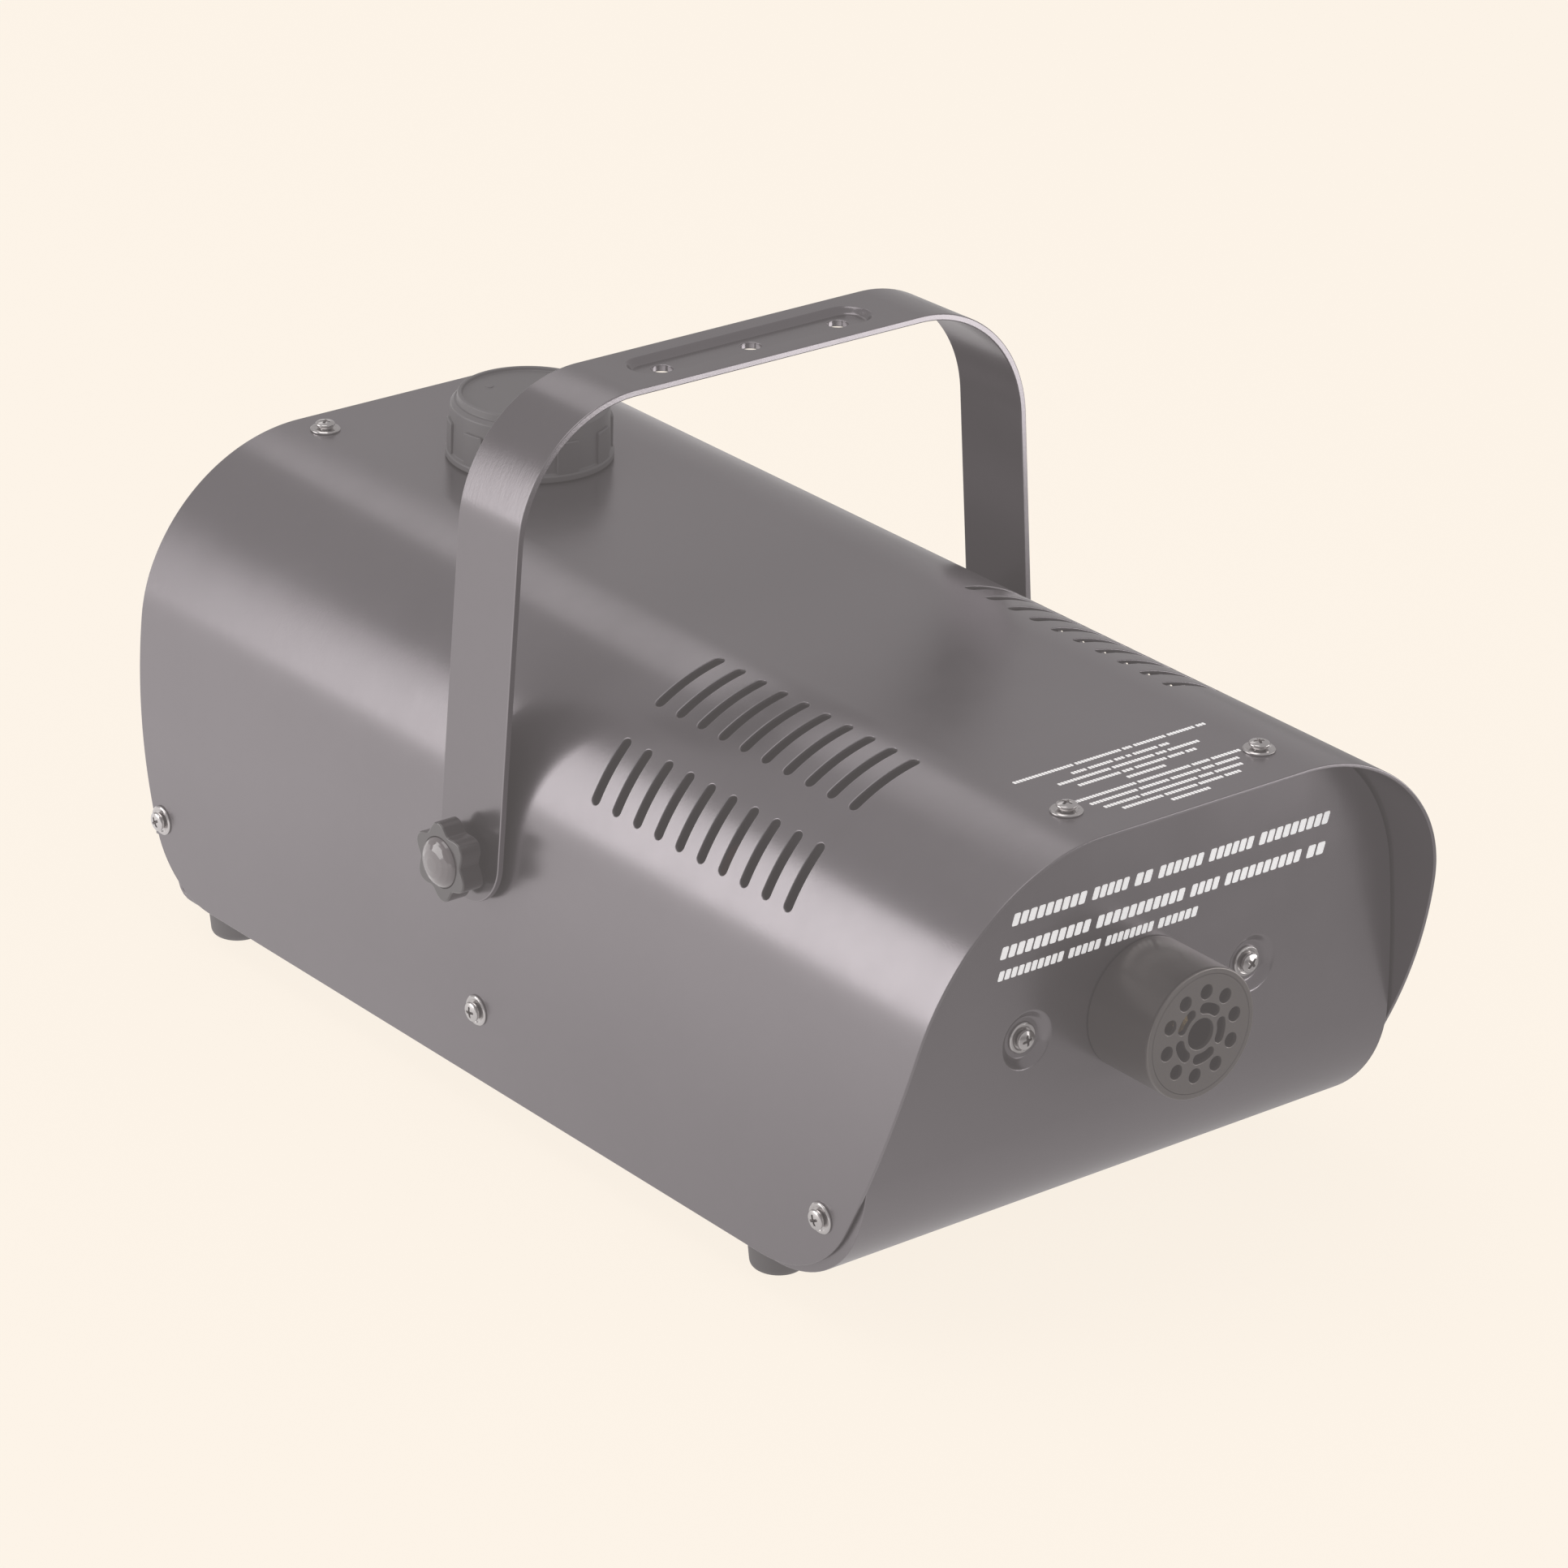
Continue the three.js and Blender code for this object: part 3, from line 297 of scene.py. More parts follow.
def place(x=0, y=0, z=0, rx=0, ry=0, rz=0):
    turn = Matrix.Rotation(rad(rz), 4, "Z") @ Matrix.Rotation(rad(ry), 4, "Y")
    turn = turn @ Matrix.Rotation(rad(rx), 4, "X")
    return Matrix.Translation((x, y, z)) @ turn


def facing(point, normal, spin=0.0):
    """Takes +Z to a surface normal at a point."""
    turn = Vector(normal).to_track_quat("Z", "Y").to_matrix().to_4x4()
    return Matrix.Translation(point) @ turn @ Matrix.Rotation(spin, 4, "Z")


def surface_normal(surface, u, v, h=0.02):
    du = surface(u + h, v) - surface(u - h, v)
    dv = surface(u, v + h) - surface(u, v - h)
    return du.cross(dv).normalized()


def flat(z=0.0):
    return lambda u, v: Vector((u, v, z))


def sheet(outline, surface, thickness, edge=0.3, holes=(), creases=(), crease_span=None, rings=(),
          hole_edge=None, round_steps=2):
    """A plate with rounded edges: an outline with holes, carried onto surface(u, v).

    The plate lies under the surface: thickness is measured against the surface's normal.
    creases are values of u where the mesh gets a line, and rings are extra closed lines.
    """
    part = Part()
    outer = outline if signed_area(outline) > 0 else outline[::-1]
    loops = [outer] + [h if signed_area(h) < 0 else h[::-1] for h in holes]
    radii = [edge] + [hole_edge if hole_edge is not None else edge] * len(holes)
    steps_in = [inward(loop) for loop in loops]
    rims = [
        [(p[0] + m.x * r, p[1] + m.y * r) for p, m in zip(loop, steps)]
        for loop, steps, r in zip(loops, steps_in, radii)
    ]
    coords, edges = [], []
    for rim in rims:
        base = len(coords)
        coords += rim
        edges += [(base + i, base + (i + 1) % len(rim)) for i in range(len(rim))]
    loop_count = len(coords)
    for ring in rings:
        base = len(coords)
        coords += ring
        edges += [(base + i, base + (i + 1) % len(ring)) for i in range(len(ring))]
    margin = max(edge, 0.3) * 1.6
    for u in creases:
        crossings = []
        for rim in rims:
            for i, (bu, bv) in enumerate(rim):
                au, av = rim[i - 1]
                if (au > u) != (bu > u):
                    crossings.append(av + (bv - av) * (u - au) / (bu - au))
        crossings.sort()
        for low, high in zip(crossings[::2], crossings[1::2]):
            low, high = low + margin, high - margin
            if crease_span:
                low, high = max(low, crease_span[0]), min(high, crease_span[1])
            if high - low > margin:
                edges.append((len(coords), len(coords) + 1))
                coords += [(u, low), (u, high)]
    result = delaunay_2d_cdt([Vector(c) for c in coords], edges, [], 0, 1e-6, True)
    points, _, faces, sources = result[:4]
    slot_of = {}
    for index, originals in enumerate(sources):
        for original in originals:
            slot_of[original] = index
    boxes = [(min(p[0] for p in r), max(p[0] for p in r), min(p[1] for p in r), max(p[1] for p in r))
             for r in rims]
    kept = []
    for face in faces:
        cx = sum(points[i][0] for i in face) / len(face)
        cy = sum(points[i][1] for i in face) / len(face)
        if not inside((cx, cy), rims[0]):
            continue
        if any(b[0] < cx < b[1] and b[2] < cy < b[3] and inside((cx, cy), rim)
               for rim, b in zip(rims[1:], boxes[1:])):
            continue
        kept.append(tuple(face))
    used = sorted({i for f in kept for i in f})
    top, bottom = {}, {}
    for i in used:
        u, v = points[i]
        p, n = surface(u, v), surface_normal(surface, u, v)
        top[i] = part.vert(p, n)
        bottom[i] = part.vert(p - n * thickness, -n)
    for face in kept:
        part.faces.append(tuple(top[i] for i in face))
        part.faces.append(tuple(bottom[i] for i in reversed(face)))
    start = 0
    for loop, steps, r in zip(loops, steps_in, radii):
        columns = []
        for k, (p, m) in enumerate(zip(loop, steps)):
            q = surface(*p)
            n = surface_normal(surface, *p)
            towards = surface(p[0] + m.x * 0.05, p[1] + m.y * 0.05) - q
            towards = (towards - n * towards.dot(n)).normalized() * m.length
            index = slot_of[start + k]
            column = [top[index]]
            for j in range(1, round_steps + 1):
                a = math.pi / 2 * j / round_steps
                co = q + towards * r * (1 - math.sin(a)) - n * r * (1 - math.cos(a))
                column.append(part.vert(co, n * math.cos(a) - towards * math.sin(a), 1.0))
            for j in range(round_steps, 0, -1):
                a = math.pi / 2 * j / round_steps
                co = q + towards * r * (1 - math.sin(a)) - n * (thickness - r * (1 - math.cos(a)))
                column.append(part.vert(co, -n * math.cos(a) - towards * math.sin(a), 1.0))
            column.append(bottom[index])
            columns.append(column)
        start += len(loop)
        for a, b in zip(columns, columns[1:] + columns[:1]):
            for j in range(len(a) - 1):
                part.faces.append((a[j], a[j + 1], b[j + 1], b[j]))
    return part


def lathe(profile, radii, segments=64, closed=False, steps=4):
    """Turns a profile of (r, z) about Z. It runs up the outside, so the material is on its left."""
    count = len(profile)
    if not isinstance(radii, (list, tuple)):
        radii = [radii] * count
    marks = []
    for i, p in enumerate(profile):
        p = Vector(p)
        before = Vector(profile[i - 1]) if (i or closed) else None
        after = Vector(profile[(i + 1) % count]) if (i < count - 1 or closed) else None
        if before is None or after is None:
            d = (after - p) if after is not None else (p - before)
            marks.append((p, Vector((d.y, -d.x)).normalized(), 0.0))
            continue
        da, db = (p - before), (after - p)
        turn = da.angle(db)
        na = Vector((da.y, -da.x)).normalized()
        nb = Vector((db.y, -db.x)).normalized()
        if turn < 1e-3:
            marks.append((p, na, 0.0))
            continue
        cut = min(max(radii[i], 0.02) * math.tan(turn / 2), da.length * 0.48, db.length * 0.48)
        a, b = p - da.normalized() * cut, p + db.normalized() * cut
        for k in range(steps + 1):
            t = k / steps
            co = a * (1 - t) ** 2 + p * 2 * t * (1 - t) + b * t ** 2
            marks.append((co, (na * (1 - t) + nb * t).normalized(), 1.0 if 0 < k < steps else 0.3))
    part = Part()
    columns = []
    for s in range(segments):
        c, d = math.cos(TAU * s / segments), math.sin(TAU * s / segments)
        column = []
        for i, (co, n, edge) in enumerate(marks):
            if co.x < 1e-4:
                column.append(columns[0][i] if columns else part.vert((0, 0, co.y), (0, 0, n.y), edge))
            else:
                column.append(part.vert((co.x * c, co.x * d, co.y), (n.x * c, n.x * d, n.y), edge))
        columns.append(column)
    spans = len(marks) if closed else len(marks) - 1
    for a, b in zip(columns, columns[1:] + columns[:1]):
        for j in range(spans):
            k = (j + 1) % len(marks)
            quad = (a[j], b[j], b[k], a[k])
            face = tuple(dict.fromkeys(quad))
            if len(face) > 2:
                part.faces.append(face)
    return part


def plate(outline, thickness, edge, matrix, holes=(), hole_edge=None, rings=(), round_steps=2):
    part = sheet(outline, flat(), thickness, edge, holes=holes, hole_edge=hole_edge, rings=rings,
                 round_steps=round_steps)
    return part.moved(matrix)


def build(name, part, material, body="chassis", replaces=()):
    mesh = bpy.data.meshes.new(name)
    mesh.from_pydata([tuple(v * MM) for v in part.verts], [], part.faces)
    mesh.polygons.foreach_set("use_smooth", [True] * len(mesh.polygons))
    mask = mesh.attributes.new("edge", "FLOAT", "POINT")
    mask.data.foreach_set("value", part.edge)
    mesh.normals_split_custom_set_from_vertices([tuple(n) for n in part.normals])
    mesh.materials.append(material)
    mesh.update()
    piece = bpy.data.objects.new(name, mesh)
    bpy.context.scene.collection.objects.link(piece)
    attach(piece, body)
    if replaces:
        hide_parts(*replaces)
    return piece


# ---- materials ----
class Shader:
    """A node material with a few shorthands."""

    def __init__(self, name):
        self.material = bpy.data.materials.new(name)
        self.material.use_nodes = True
        self.nodes = self.material.node_tree.nodes
        self.links = self.material.node_tree.links
        self.bsdf = self.nodes["Principled BSDF"]
        self.position = self.add("ShaderNodeTexCoord").outputs["Object"]

    def add(self, kind, **values):
        node = self.nodes.new(kind)
        for key, value in values.items():
            if key in node.inputs:
                node.inputs[key].default_value = value
            else:
                setattr(node, key, value)
        return node

    def join(self, output, socket):
        self.links.new(output, socket)

    def noise(self, scale, detail=3.0, roughness=0.5, stretch=None):
        node = self.add("ShaderNodeTexNoise", Scale=scale, Detail=detail, Roughness=roughness)
        source = self.position
        if stretch:
            mapping = self.add("ShaderNodeMapping", Scale=stretch)
            self.join(source, mapping.inputs["Vector"])
            source = mapping.outputs["Vector"]
        self.join(source, node.inputs["Vector"])
        return node.outputs["Fac"]

    def spread(self, value, low, high, out_low, out_high):
        node = self.add("ShaderNodeMapRange")
        for key, number in (("From Min", low), ("From Max", high), ("To Min", out_low), ("To Max", out_high)):
            node.inputs[key].default_value = number
        self.join(value, node.inputs["Value"])
        return node.outputs["Result"]

    def mix(self, factor, a, b):
        node = self.add("ShaderNodeMix", data_type="RGBA")
        if hasattr(factor, "node"):
            self.join(factor, node.inputs[0])
        else:
            node.inputs[0].default_value = factor
        for socket, value in ((node.inputs[6], a), (node.inputs[7], b)):
            if hasattr(value, "node"):
                self.join(value, socket)
            else:
                socket.default_value = (*value, 1)
        return node.outputs[2]

    def edge_mask(self):
        return self.add("ShaderNodeAttribute", attribute_name="edge").outputs["Fac"]

    def bump(self, height, distance, strength=1.0, base=None):
        node = self.add("ShaderNodeBump", Strength=strength, Distance=distance)
        self.join(height, node.inputs["Height"])
        if base is not None:
            self.join(base, node.inputs["Normal"])
        return node.outputs["Normal"]

    def finish(self, color=None, rough=None, normal=None, metallic=0.0, **extra):
        if color is not None:
            self.join(color, self.bsdf.inputs["Base Color"])
        if rough is not None:
            self.join(rough, self.bsdf.inputs["Roughness"])
        if normal is not None:
            self.join(normal, self.bsdf.inputs["Normal"])
        self.bsdf.inputs["Metallic"].default_value = metallic
        for key, value in extra.items():
            self.bsdf.inputs[key.replace("_", " ")].default_value = value
        return self.material


def tone(color, factor):
    return tuple(min(c * factor, 1.0) for c in color)


def painted(name, color, rough, metallic, grain=0.00002, grain_scale=1400, edge_highlight_gain=1.25, coat=0.0,
            streak=None):
    """Satin paint: fine orange peel, cloudy tone and gloss, and a painted highlight that lightens the rounded
    edges.
    """
    s = Shader(name)
    cloud = s.noise(9, 4)
    fine = s.noise(260, 5, 0.6)
    base = s.mix(s.spread(cloud, 0.3, 0.7, 0, 1), tone(color, 0.965), tone(color, 1.035))
    base = s.mix(s.spread(fine, 0.45, 0.8, 0, 0.10), base, tone(color, 1.25))
    # painted highlight: the colour is lightened on the rounded edges
    base = s.mix(s.spread(s.edge_mask(), 0, 1, 0, 0.55), base, tone(color, edge_highlight_gain))
    gloss = s.spread(s.noise(55, 4, 0.6), 0.25, 0.75, rough - 0.025, rough + 0.03)
    normal = s.bump(s.noise(grain_scale, 2, 0.5), grain, 0.6)
    if streak:
        normal = s.bump(s.noise(streak[0], 3, 0.6, stretch=streak[1]), streak[2], 0.5, normal)
    return s.finish(base, gloss, normal, metallic, Coat_Weight=coat, Coat_Roughness=0.3)


def plastic(name, color, rough, grain=0.00003, grain_scale=900, edge_highlight_gain=1.2, coat=0.0, glow=0.0):
    """Moulded plastic: eroded mould texture, faint flow marks, a painted highlight on the rounded edges and,
    where glow is given, a painted glow.
    """
    s = Shader(name)
    base = s.mix(s.spread(s.noise(14, 3), 0.3, 0.7, 0, 1), tone(color, 0.93), tone(color, 1.07))
    # painted highlight: the colour is lightened on the rounded edges
    base = s.mix(s.spread(s.edge_mask(), 0, 1, 0, 0.5), base, tone(color, edge_highlight_gain))
    gloss = s.spread(s.noise(70, 3), 0.3, 0.7, rough - 0.03, rough + 0.04)
    normal = s.bump(s.noise(grain_scale, 3, 0.6), grain, 0.7)
    # glow is an emission strength: painted light on a part that is no lamp
    return s.finish(base, gloss, normal, 0.0, Coat_Weight=coat, Coat_Roughness=0.1, Emission_Strength=glow)


def metal(name, color, rough, scratch=(500, (1, 1, 14), 0.000015), tarnish=0.9):
    """Plated or machined metal: fine directional marks and a faint uneven tarnish."""
    s = Shader(name)
    base = s.mix(s.spread(s.noise(60, 4), 0.35, 0.7, 0, 1), color, tone(color, tarnish))
    gloss = s.spread(s.noise(150, 4), 0.3, 0.7, rough - 0.04, rough + 0.06)
    normal = s.bump(s.noise(scratch[0], 2, 0.5, stretch=scratch[1]), scratch[2], 0.5)
    return s.finish(base, gloss, normal, 1.0)


PAINT = (0.213, 0.199, 0.211)
M = {
    "paint": painted("grey_paint", PAINT, 0.24, 0.78),
    # the bracket is a darker copy of the grey paint, painted shade for its darker bar top, and its edges
    # carry a strong painted highlight
    "bracket": painted("bracket_paint", tone(PAINT, 0.86), 0.21, 0.86,
                       streak=(90, (0.4, 12, 1), 0.000024), edge_highlight_gain=1.9),
    "nozzle": painted("nozzle_metal", (0.162, 0.150, 0.142), 0.33, 0.72, grain=0.00004, grain_scale=700),
    "nickel": metal("screw_nickel", (0.60, 0.58, 0.575), 0.18),
    "cap": plastic("cap_plastic", (0.118, 0.114, 0.118), 0.42, coat=0.0),
    "knob": plastic("knob_plastic", (0.034, 0.030, 0.031), 0.24, coat=0.7),
    "dome": plastic("gloss_black", (0.13, 0.114, 0.118), 0.10, grain=0.000005, coat=1.0),
    "black": plastic("black_plastic", (0.055, 0.053, 0.054), 0.42),
    "foot": plastic("foot_rubber", (0.10, 0.095, 0.096), 0.62, grain=0.00005, grain_scale=1200),
    "seal": plastic("seal_rubber", (0.05, 0.05, 0.05), 0.7),
    "hose": plastic("hose_rubber", (0.42, 0.20, 0.14), 0.4, coat=0.2),
    "tank": plastic("tank_plastic", (0.78, 0.77, 0.72), 0.45),
    "brass": metal("brass", (0.71, 0.52, 0.25), 0.26),
    "stainless": metal("stainless", (0.60, 0.59, 0.57), 0.3),
    "zinc": metal("zinc_steel", (0.52, 0.53, 0.55), 0.4),
    "aluminium": metal("cast_aluminium", (0.62, 0.62, 0.62), 0.5, scratch=(120, (1, 1, 1), 0.0002)),
    "board": plastic("board", (0.03, 0.13, 0.07), 0.4),
    # the white marks glow faintly: painted light that keeps them bright
    "ink": plastic("mark_ink", (0.97, 0.95, 0.94), 0.5, grain=0.00001, glow=0.3),
}
SLOT_MATERIAL = {
    "grey_paint": "paint", "bracket_paint": "bracket", "nozzle_metal": "nozzle", "screw_nickel": "nickel",
    "cap_plastic": "cap", "knob_plastic": "knob", "gloss_black": "dome", "black_plastic": "black",
    "foot_rubber": "foot", "seal_rubber": "seal", "hose_rubber": "hose", "tank_plastic": "tank",
    "brass": "brass", "stainless": "stainless", "zinc_steel": "zinc", "cast_aluminium": "aluminium",
    "board": "board",
}
for entry in frame["record"]["subparts"]:
    node = frame["nodes"][entry["node"]]
    node.data.materials.clear()
    node.data.materials.append(M[SLOT_MATERIAL[entry["material_slot"]]])


# ---- camera ----
def look_camera():
    camera = bpy.data.objects.new("camera", bpy.data.cameras.new("camera"))
    camera.data.lens = 153.2
    camera.data.sensor_width = 36
    camera.data.clip_start, camera.data.clip_end = 0.05, 50
    right = Vector((0.77816747, -0.62743232, 0.02800135))
    up = Vector((0.23777179, 0.3355738, 0.91151237))
    turn = Matrix((right, up, right.cross(up))).transposed().to_4x4()
    camera.matrix_world = Matrix.Translation((-1.21426, -1.47410, 0.95015)) @ turn
    bpy.context.scene.collection.objects.link(camera)
    bpy.context.scene.camera = camera


look_camera()


# ---- the cover's section and outline ----
SHOULDER_Z = COVER_TOP - SHOULDER_R
SIDE_CX = FLAT_HALF + (SHOULDER_R - SIDE_R) * math.sin(SHOULDER_TURN)
SIDE_CZ = SHOULDER_Z + (SHOULDER_R - SIDE_R) * math.cos(SHOULDER_TURN)


def section_x(inset, z):
    """Half width of the cover's section, inset from its outside, at a height."""
    meet = SIDE_CZ + (SIDE_R - inset) * math.cos(SHOULDER_TURN)
    if z > meet:
        return FLAT_HALF + math.sqrt(max((SHOULDER_R - inset) ** 2 - (z - SHOULDER_Z) ** 2, 0))
    return SIDE_CX + math.sqrt((SIDE_R - inset) ** 2 - (z - SIDE_CZ) ** 2)


SIDE_SPAN = math.pi / 2 - SHOULDER_TURN - math.asin((COVER_BOTTOM - SIDE_CZ) / SIDE_R)
half_section = Track((0, COVER_TOP), 0, [
    (FLAT_HALF, 0), (SHOULDER_R * SHOULDER_TURN, -SHOULDER_TURN), (SIDE_R * SIDE_SPAN, -SIDE_SPAN),
])


def cover_surface(u, v):
    x, z = half_section.at(abs(u))
    return Vector((x if u >= 0 else -x, v, z))


def section_u(z):
    """Length along the half section at which it comes down to height z."""
    low, high = FLAT_HALF, half_section.length
    for _ in range(50):
        middle = (low + high) / 2
        if half_section.at(middle)[1] > z:
            low = middle
        else:
            high = middle
    return (low + high) / 2


def edge_profile(y0, top, big, corner, toward):
    """Cover's end edge seen from the side, from the top down to the flat bottom edge."""
    centre = y0 - toward * big
    reach = big - corner
    turn = math.asin((top - COVER_BOTTOM - corner) / reach)
    points = [(centre + toward * big * math.cos(turn * i / 24), top - big * math.sin(turn * i / 24))
              for i in range(25)]
    cy, cz = centre + toward * reach * math.cos(turn), top - reach * math.sin(turn)
    for i in range(1, 15):
        a = turn + (math.pi / 2 - turn) * i / 14
        points.append((cy + toward * corner * math.cos(a), cz - corner * math.sin(a)))
    return points


FRONT_EDGE = edge_profile(COVER_FRONT, COVER_TOP, FRONT_ARC_R, FRONT_CORNER_R, -1)
REAR_EDGE = edge_profile(COVER_REAR, REAR_ARC_TOP, REAR_ARC_R, REAR_CORNER_R, 1)


def cover_outline():
    """The cover unrolled: u round the section, v along the machine."""
    front = [(section_u(z), y) for y, z in FRONT_EDGE[1:]]
    rear = [(section_u(z), y) for y, z in REAR_EDGE]
    half = [(0, COVER_FRONT), (FLAT_HALF, COVER_FRONT)] + front + rear[::-1]
    half += [(FLAT_HALF, COVER_REAR), (0, COVER_REAR)]
    half = subdivide(half, 2.2, closed=False)
    return half + [(-u, v) for u, v in half[-2:0:-1]]


def side_u(z):
    return section_u(z)


def cover_holes():
    holes = [circle(23.5, 72, (CAP_X, CAP_Y))]
    for side in SIDES.values():
        for y in TOP_SCREW_YS.values():
            holes.append(circle(SCREW_HOLE_R, 20, (side * TOP_SCREW_X, y)))
        for y in SIDE_SCREW_YS.values():
            holes.append(circle(SCREW_HOLE_R, 20, (side * side_u(SIDE_SCREW_Z), y)))
        holes.append(circle(3.4, 24, (side * side_u(PIVOT_Z), PIVOT_Y)))
        for turn, length in SLOT_TURNS:
            for i in range(SLOT_COUNT):
                centre = (side * (FLAT_HALF + SHOULDER_R * rad(turn)), SLOT_REAR_Y - i * SLOT_PITCH)
                slot = stadium((length - SLOT_WIDTH) / 2, SLOT_WIDTH / 2, 10, centre=centre)
                holes.append(subdivide(slot, 1.6))
    return holes


def make_cover():
    part = sheet(cover_outline(), cover_surface, COVER_T, 0.35, holes=cover_holes(),
                 creases=half_section.arcs(rad(1.8), mirror=True), hole_edge=0.3)
    build("cover_shell", part, M["paint"], replaces=["top_cover"])


make_cover()


# ---- base tray ----
def tray_track():
    top = COVER_TOP - TRAY_INSET
    quarter = math.pi / 2
    return Track((FRONT_WALL, top), -quarter, [
        (top - TRAY_BOTTOM - FRONT_BEND_R, 0),
        (FRONT_BEND_R * quarter, quarter),
        (REAR_WALL - REAR_BEND_R - FRONT_WALL - FRONT_BEND_R, 0),
        (REAR_BEND_R * quarter, quarter),
        (top - TRAY_BOTTOM - REAR_BEND_R, 0),
    ])


tray = tray_track()
TRAY_TOP = COVER_TOP - TRAY_INSET
REAR_RUN = tray.runs[4][0]


def front_u(z):
    return TRAY_TOP - z


def rear_u(z):
    return REAR_RUN + z - TRAY_BOTTOM - REAR_BEND_R


def dish(distance):
    """Depth of a pressed dimple at a distance from its middle."""
    return DIMPLE_DEPTH * (1 - smooth_step(6.2, 9.8, distance))


def tray_surface(u, v):
    """u runs down the front wall, along the bottom and up the rear wall; v is x."""
    y, z = tray.at(u)
    x = v
    if u < front_u(60):
        for side in (-1, 1):
            distance = math.hypot(x - side * DIMPLE_X, z - AXIS_Z)
            if distance < 11:
                y += dish(distance)
    return Vector((x, y, z))


def tray_outline():
    side = []
    steps, length_steps = 30, 70
    u_meet = front_u(SHOULDER_Z)
    for i in range(steps + 1):
        a = math.pi / 2 * (1 - i / steps)
        z = min(SHOULDER_Z + (SHOULDER_R - TRAY_INSET) * math.sin(a), TRAY_TOP)
        side.append((front_u(z), section_x(TRAY_INSET, z)))
    for i in range(1, length_steps):
        u = u_meet + (rear_u(SHOULDER_Z) - u_meet) * i / length_steps
        z = tray.at(u)[1]
        side.append((u, section_x(TRAY_INSET, max(z, TRAY_BOTTOM))))
    for i in range(steps + 1):
        a = math.pi / 2 * i / steps
        z = min(SHOULDER_Z + (SHOULDER_R - TRAY_INSET) * math.sin(a), TRAY_TOP)
        side.append((rear_u(z), section_x(TRAY_INSET, z)))
    side = subdivide(side, 3.0, closed=False)
    return side + [(u, -w) for u, w in reversed(side)]


def tray_holes():
    u_axis, u_fit = front_u(AXIS_Z), rear_u(FITTING_Z)
    holes = [circle(15, 48, (u_axis, 0))]
    holes += [circle(SCREW_HOLE_R, 20, (u_axis, side * DIMPLE_X)) for side in (-1, 1)]
    holes.append(rounded_box(10.2, 14, 2, centre=(u_fit, INLET_X)))
    holes.append(circle(6.4, 32, (u_fit, FUSE_X)))
    holes.append(rounded_box(7, 10, 1, centre=(u_fit, SWITCH_X)))
    holes.append(circle(11.4, 40, (u_fit, REMOTE_X)))
    bottom = tray.runs[2][0] - FRONT_WALL - FRONT_BEND_R
    for i in range(-2, 3):
        holes.append(stadium(15.5, 2.5, 8, along="v", centre=(bottom - 100 + i * 12, 0)))
    return holes


TAB_HALF_WIDTH = 8
TAB_CORNER = 2.5


def side_flange(side):
    """Wall inside the cover's side, with a tab at the rear for the side screw."""
    bend = arc(FRONT_WALL + FRONT_BEND_R, TRAY_BOTTOM + FRONT_BEND_R, FRONT_BEND_R - 0.1,
               math.pi * 1.5, math.pi, 14)
    outline = [p for p in bend if p[1] <= FLANGE_TOP - 1]
    outline.append((outline[-1][0], FLANGE_TOP))
    back, tab_end = REAR_WALL - 0.1, 192.0
    tab_top, tab_bottom = SIDE_SCREW_Z + TAB_HALF_WIDTH, SIDE_SCREW_Z - TAB_HALF_WIDTH
    outline += [(back, FLANGE_TOP), (back, tab_top), (tab_end, tab_top), (tab_end, tab_bottom),
                (back, tab_bottom), (back, TRAY_BOTTOM + REAR_BEND_R),
                (REAR_WALL - REAR_BEND_R, TRAY_BOTTOM + 0.1)]
    outline = subdivide(outline, 6)
    holes = [circle(SCREW_HOLE_R, 16, (y, SIDE_SCREW_Z)) for y in SIDE_SCREW_YS.values()]

    def surface(u, v):
        return Vector((side * section_x(TRAY_INSET, v), u, v))

    if side > 0:
        return sheet(outline, surface, TRAY_T, 0.3, holes=holes)
    flipped = [(-u, v) for u, v in outline]
    return sheet(flipped, lambda u, v: surface(-u, v), TRAY_T, 0.3,
                 holes=[[(-u, v) for u, v in h] for h in holes])


def top_tab(x, y0, y1):
    middle, half = (y0 + y1) / 2, abs(y1 - y0) / 2
    outline = rounded_box(TAB_HALF_WIDTH, half, TAB_CORNER, centre=(0, middle))
    hole_y = TOP_SCREW_YS["front"] if y0 < 0 else TOP_SCREW_YS["rear"]
    hole = circle(SCREW_HOLE_R, 20, (0, hole_y))
    return plate(outline, TRAY_T, 0.3, place(x=x, z=TRAY_TOP - 0.05), holes=[hole])


DIMPLE_RING_RADII = (5.4, 6.2, 6.8, 7.4, 8.0, 8.6, 9.2, 9.8, 10.6)


def make_tray():
    rings = []
    u_axis = front_u(AXIS_Z)
    for side in (-1, 1):
        for r in DIMPLE_RING_RADII:
            rings.append(circle(r, 48, (u_axis, side * DIMPLE_X)))
    part = sheet(tray_outline(), tray_surface, TRAY_T, 0.4, holes=tray_holes(),
                 creases=tray.arcs(rad(3)), rings=rings)
    for side in (-1, 1):
        part.add(side_flange(side))
        x = side * TOP_SCREW_X
        part.add(top_tab(x, FRONT_WALL - 10, FRONT_WALL + 0.6))
        part.add(top_tab(x, REAR_WALL - 0.6, REAR_WALL + 14))
    build("tray_sheet", part, M["paint"], replaces=["base_tray"])


make_tray()


# ---- generic marks where the machine carries printing: words of plain blocks, no lettering ----
# Each as a share of the row's height, but for the fill, which is a share of the pitch.
BLOCK_PITCH = 0.8
BLOCK_FILL = 0.78
BLOCK_CORNER = 0.14
WORD_GAP = 0.55
# x0, x1, baseline, height, relative word lengths
PANEL_ROWS = [
    (-52.5, 73.0, 123.4, 3.9, [8, 4, 2, 5, 5, 8]),
    (-56.5, 72.0, 113.7, 3.9, [9, 9, 3, 8, 2]),
    (-57.0, 21.0, 106.9, 3.1, [8, 4, 6, 5]),
]
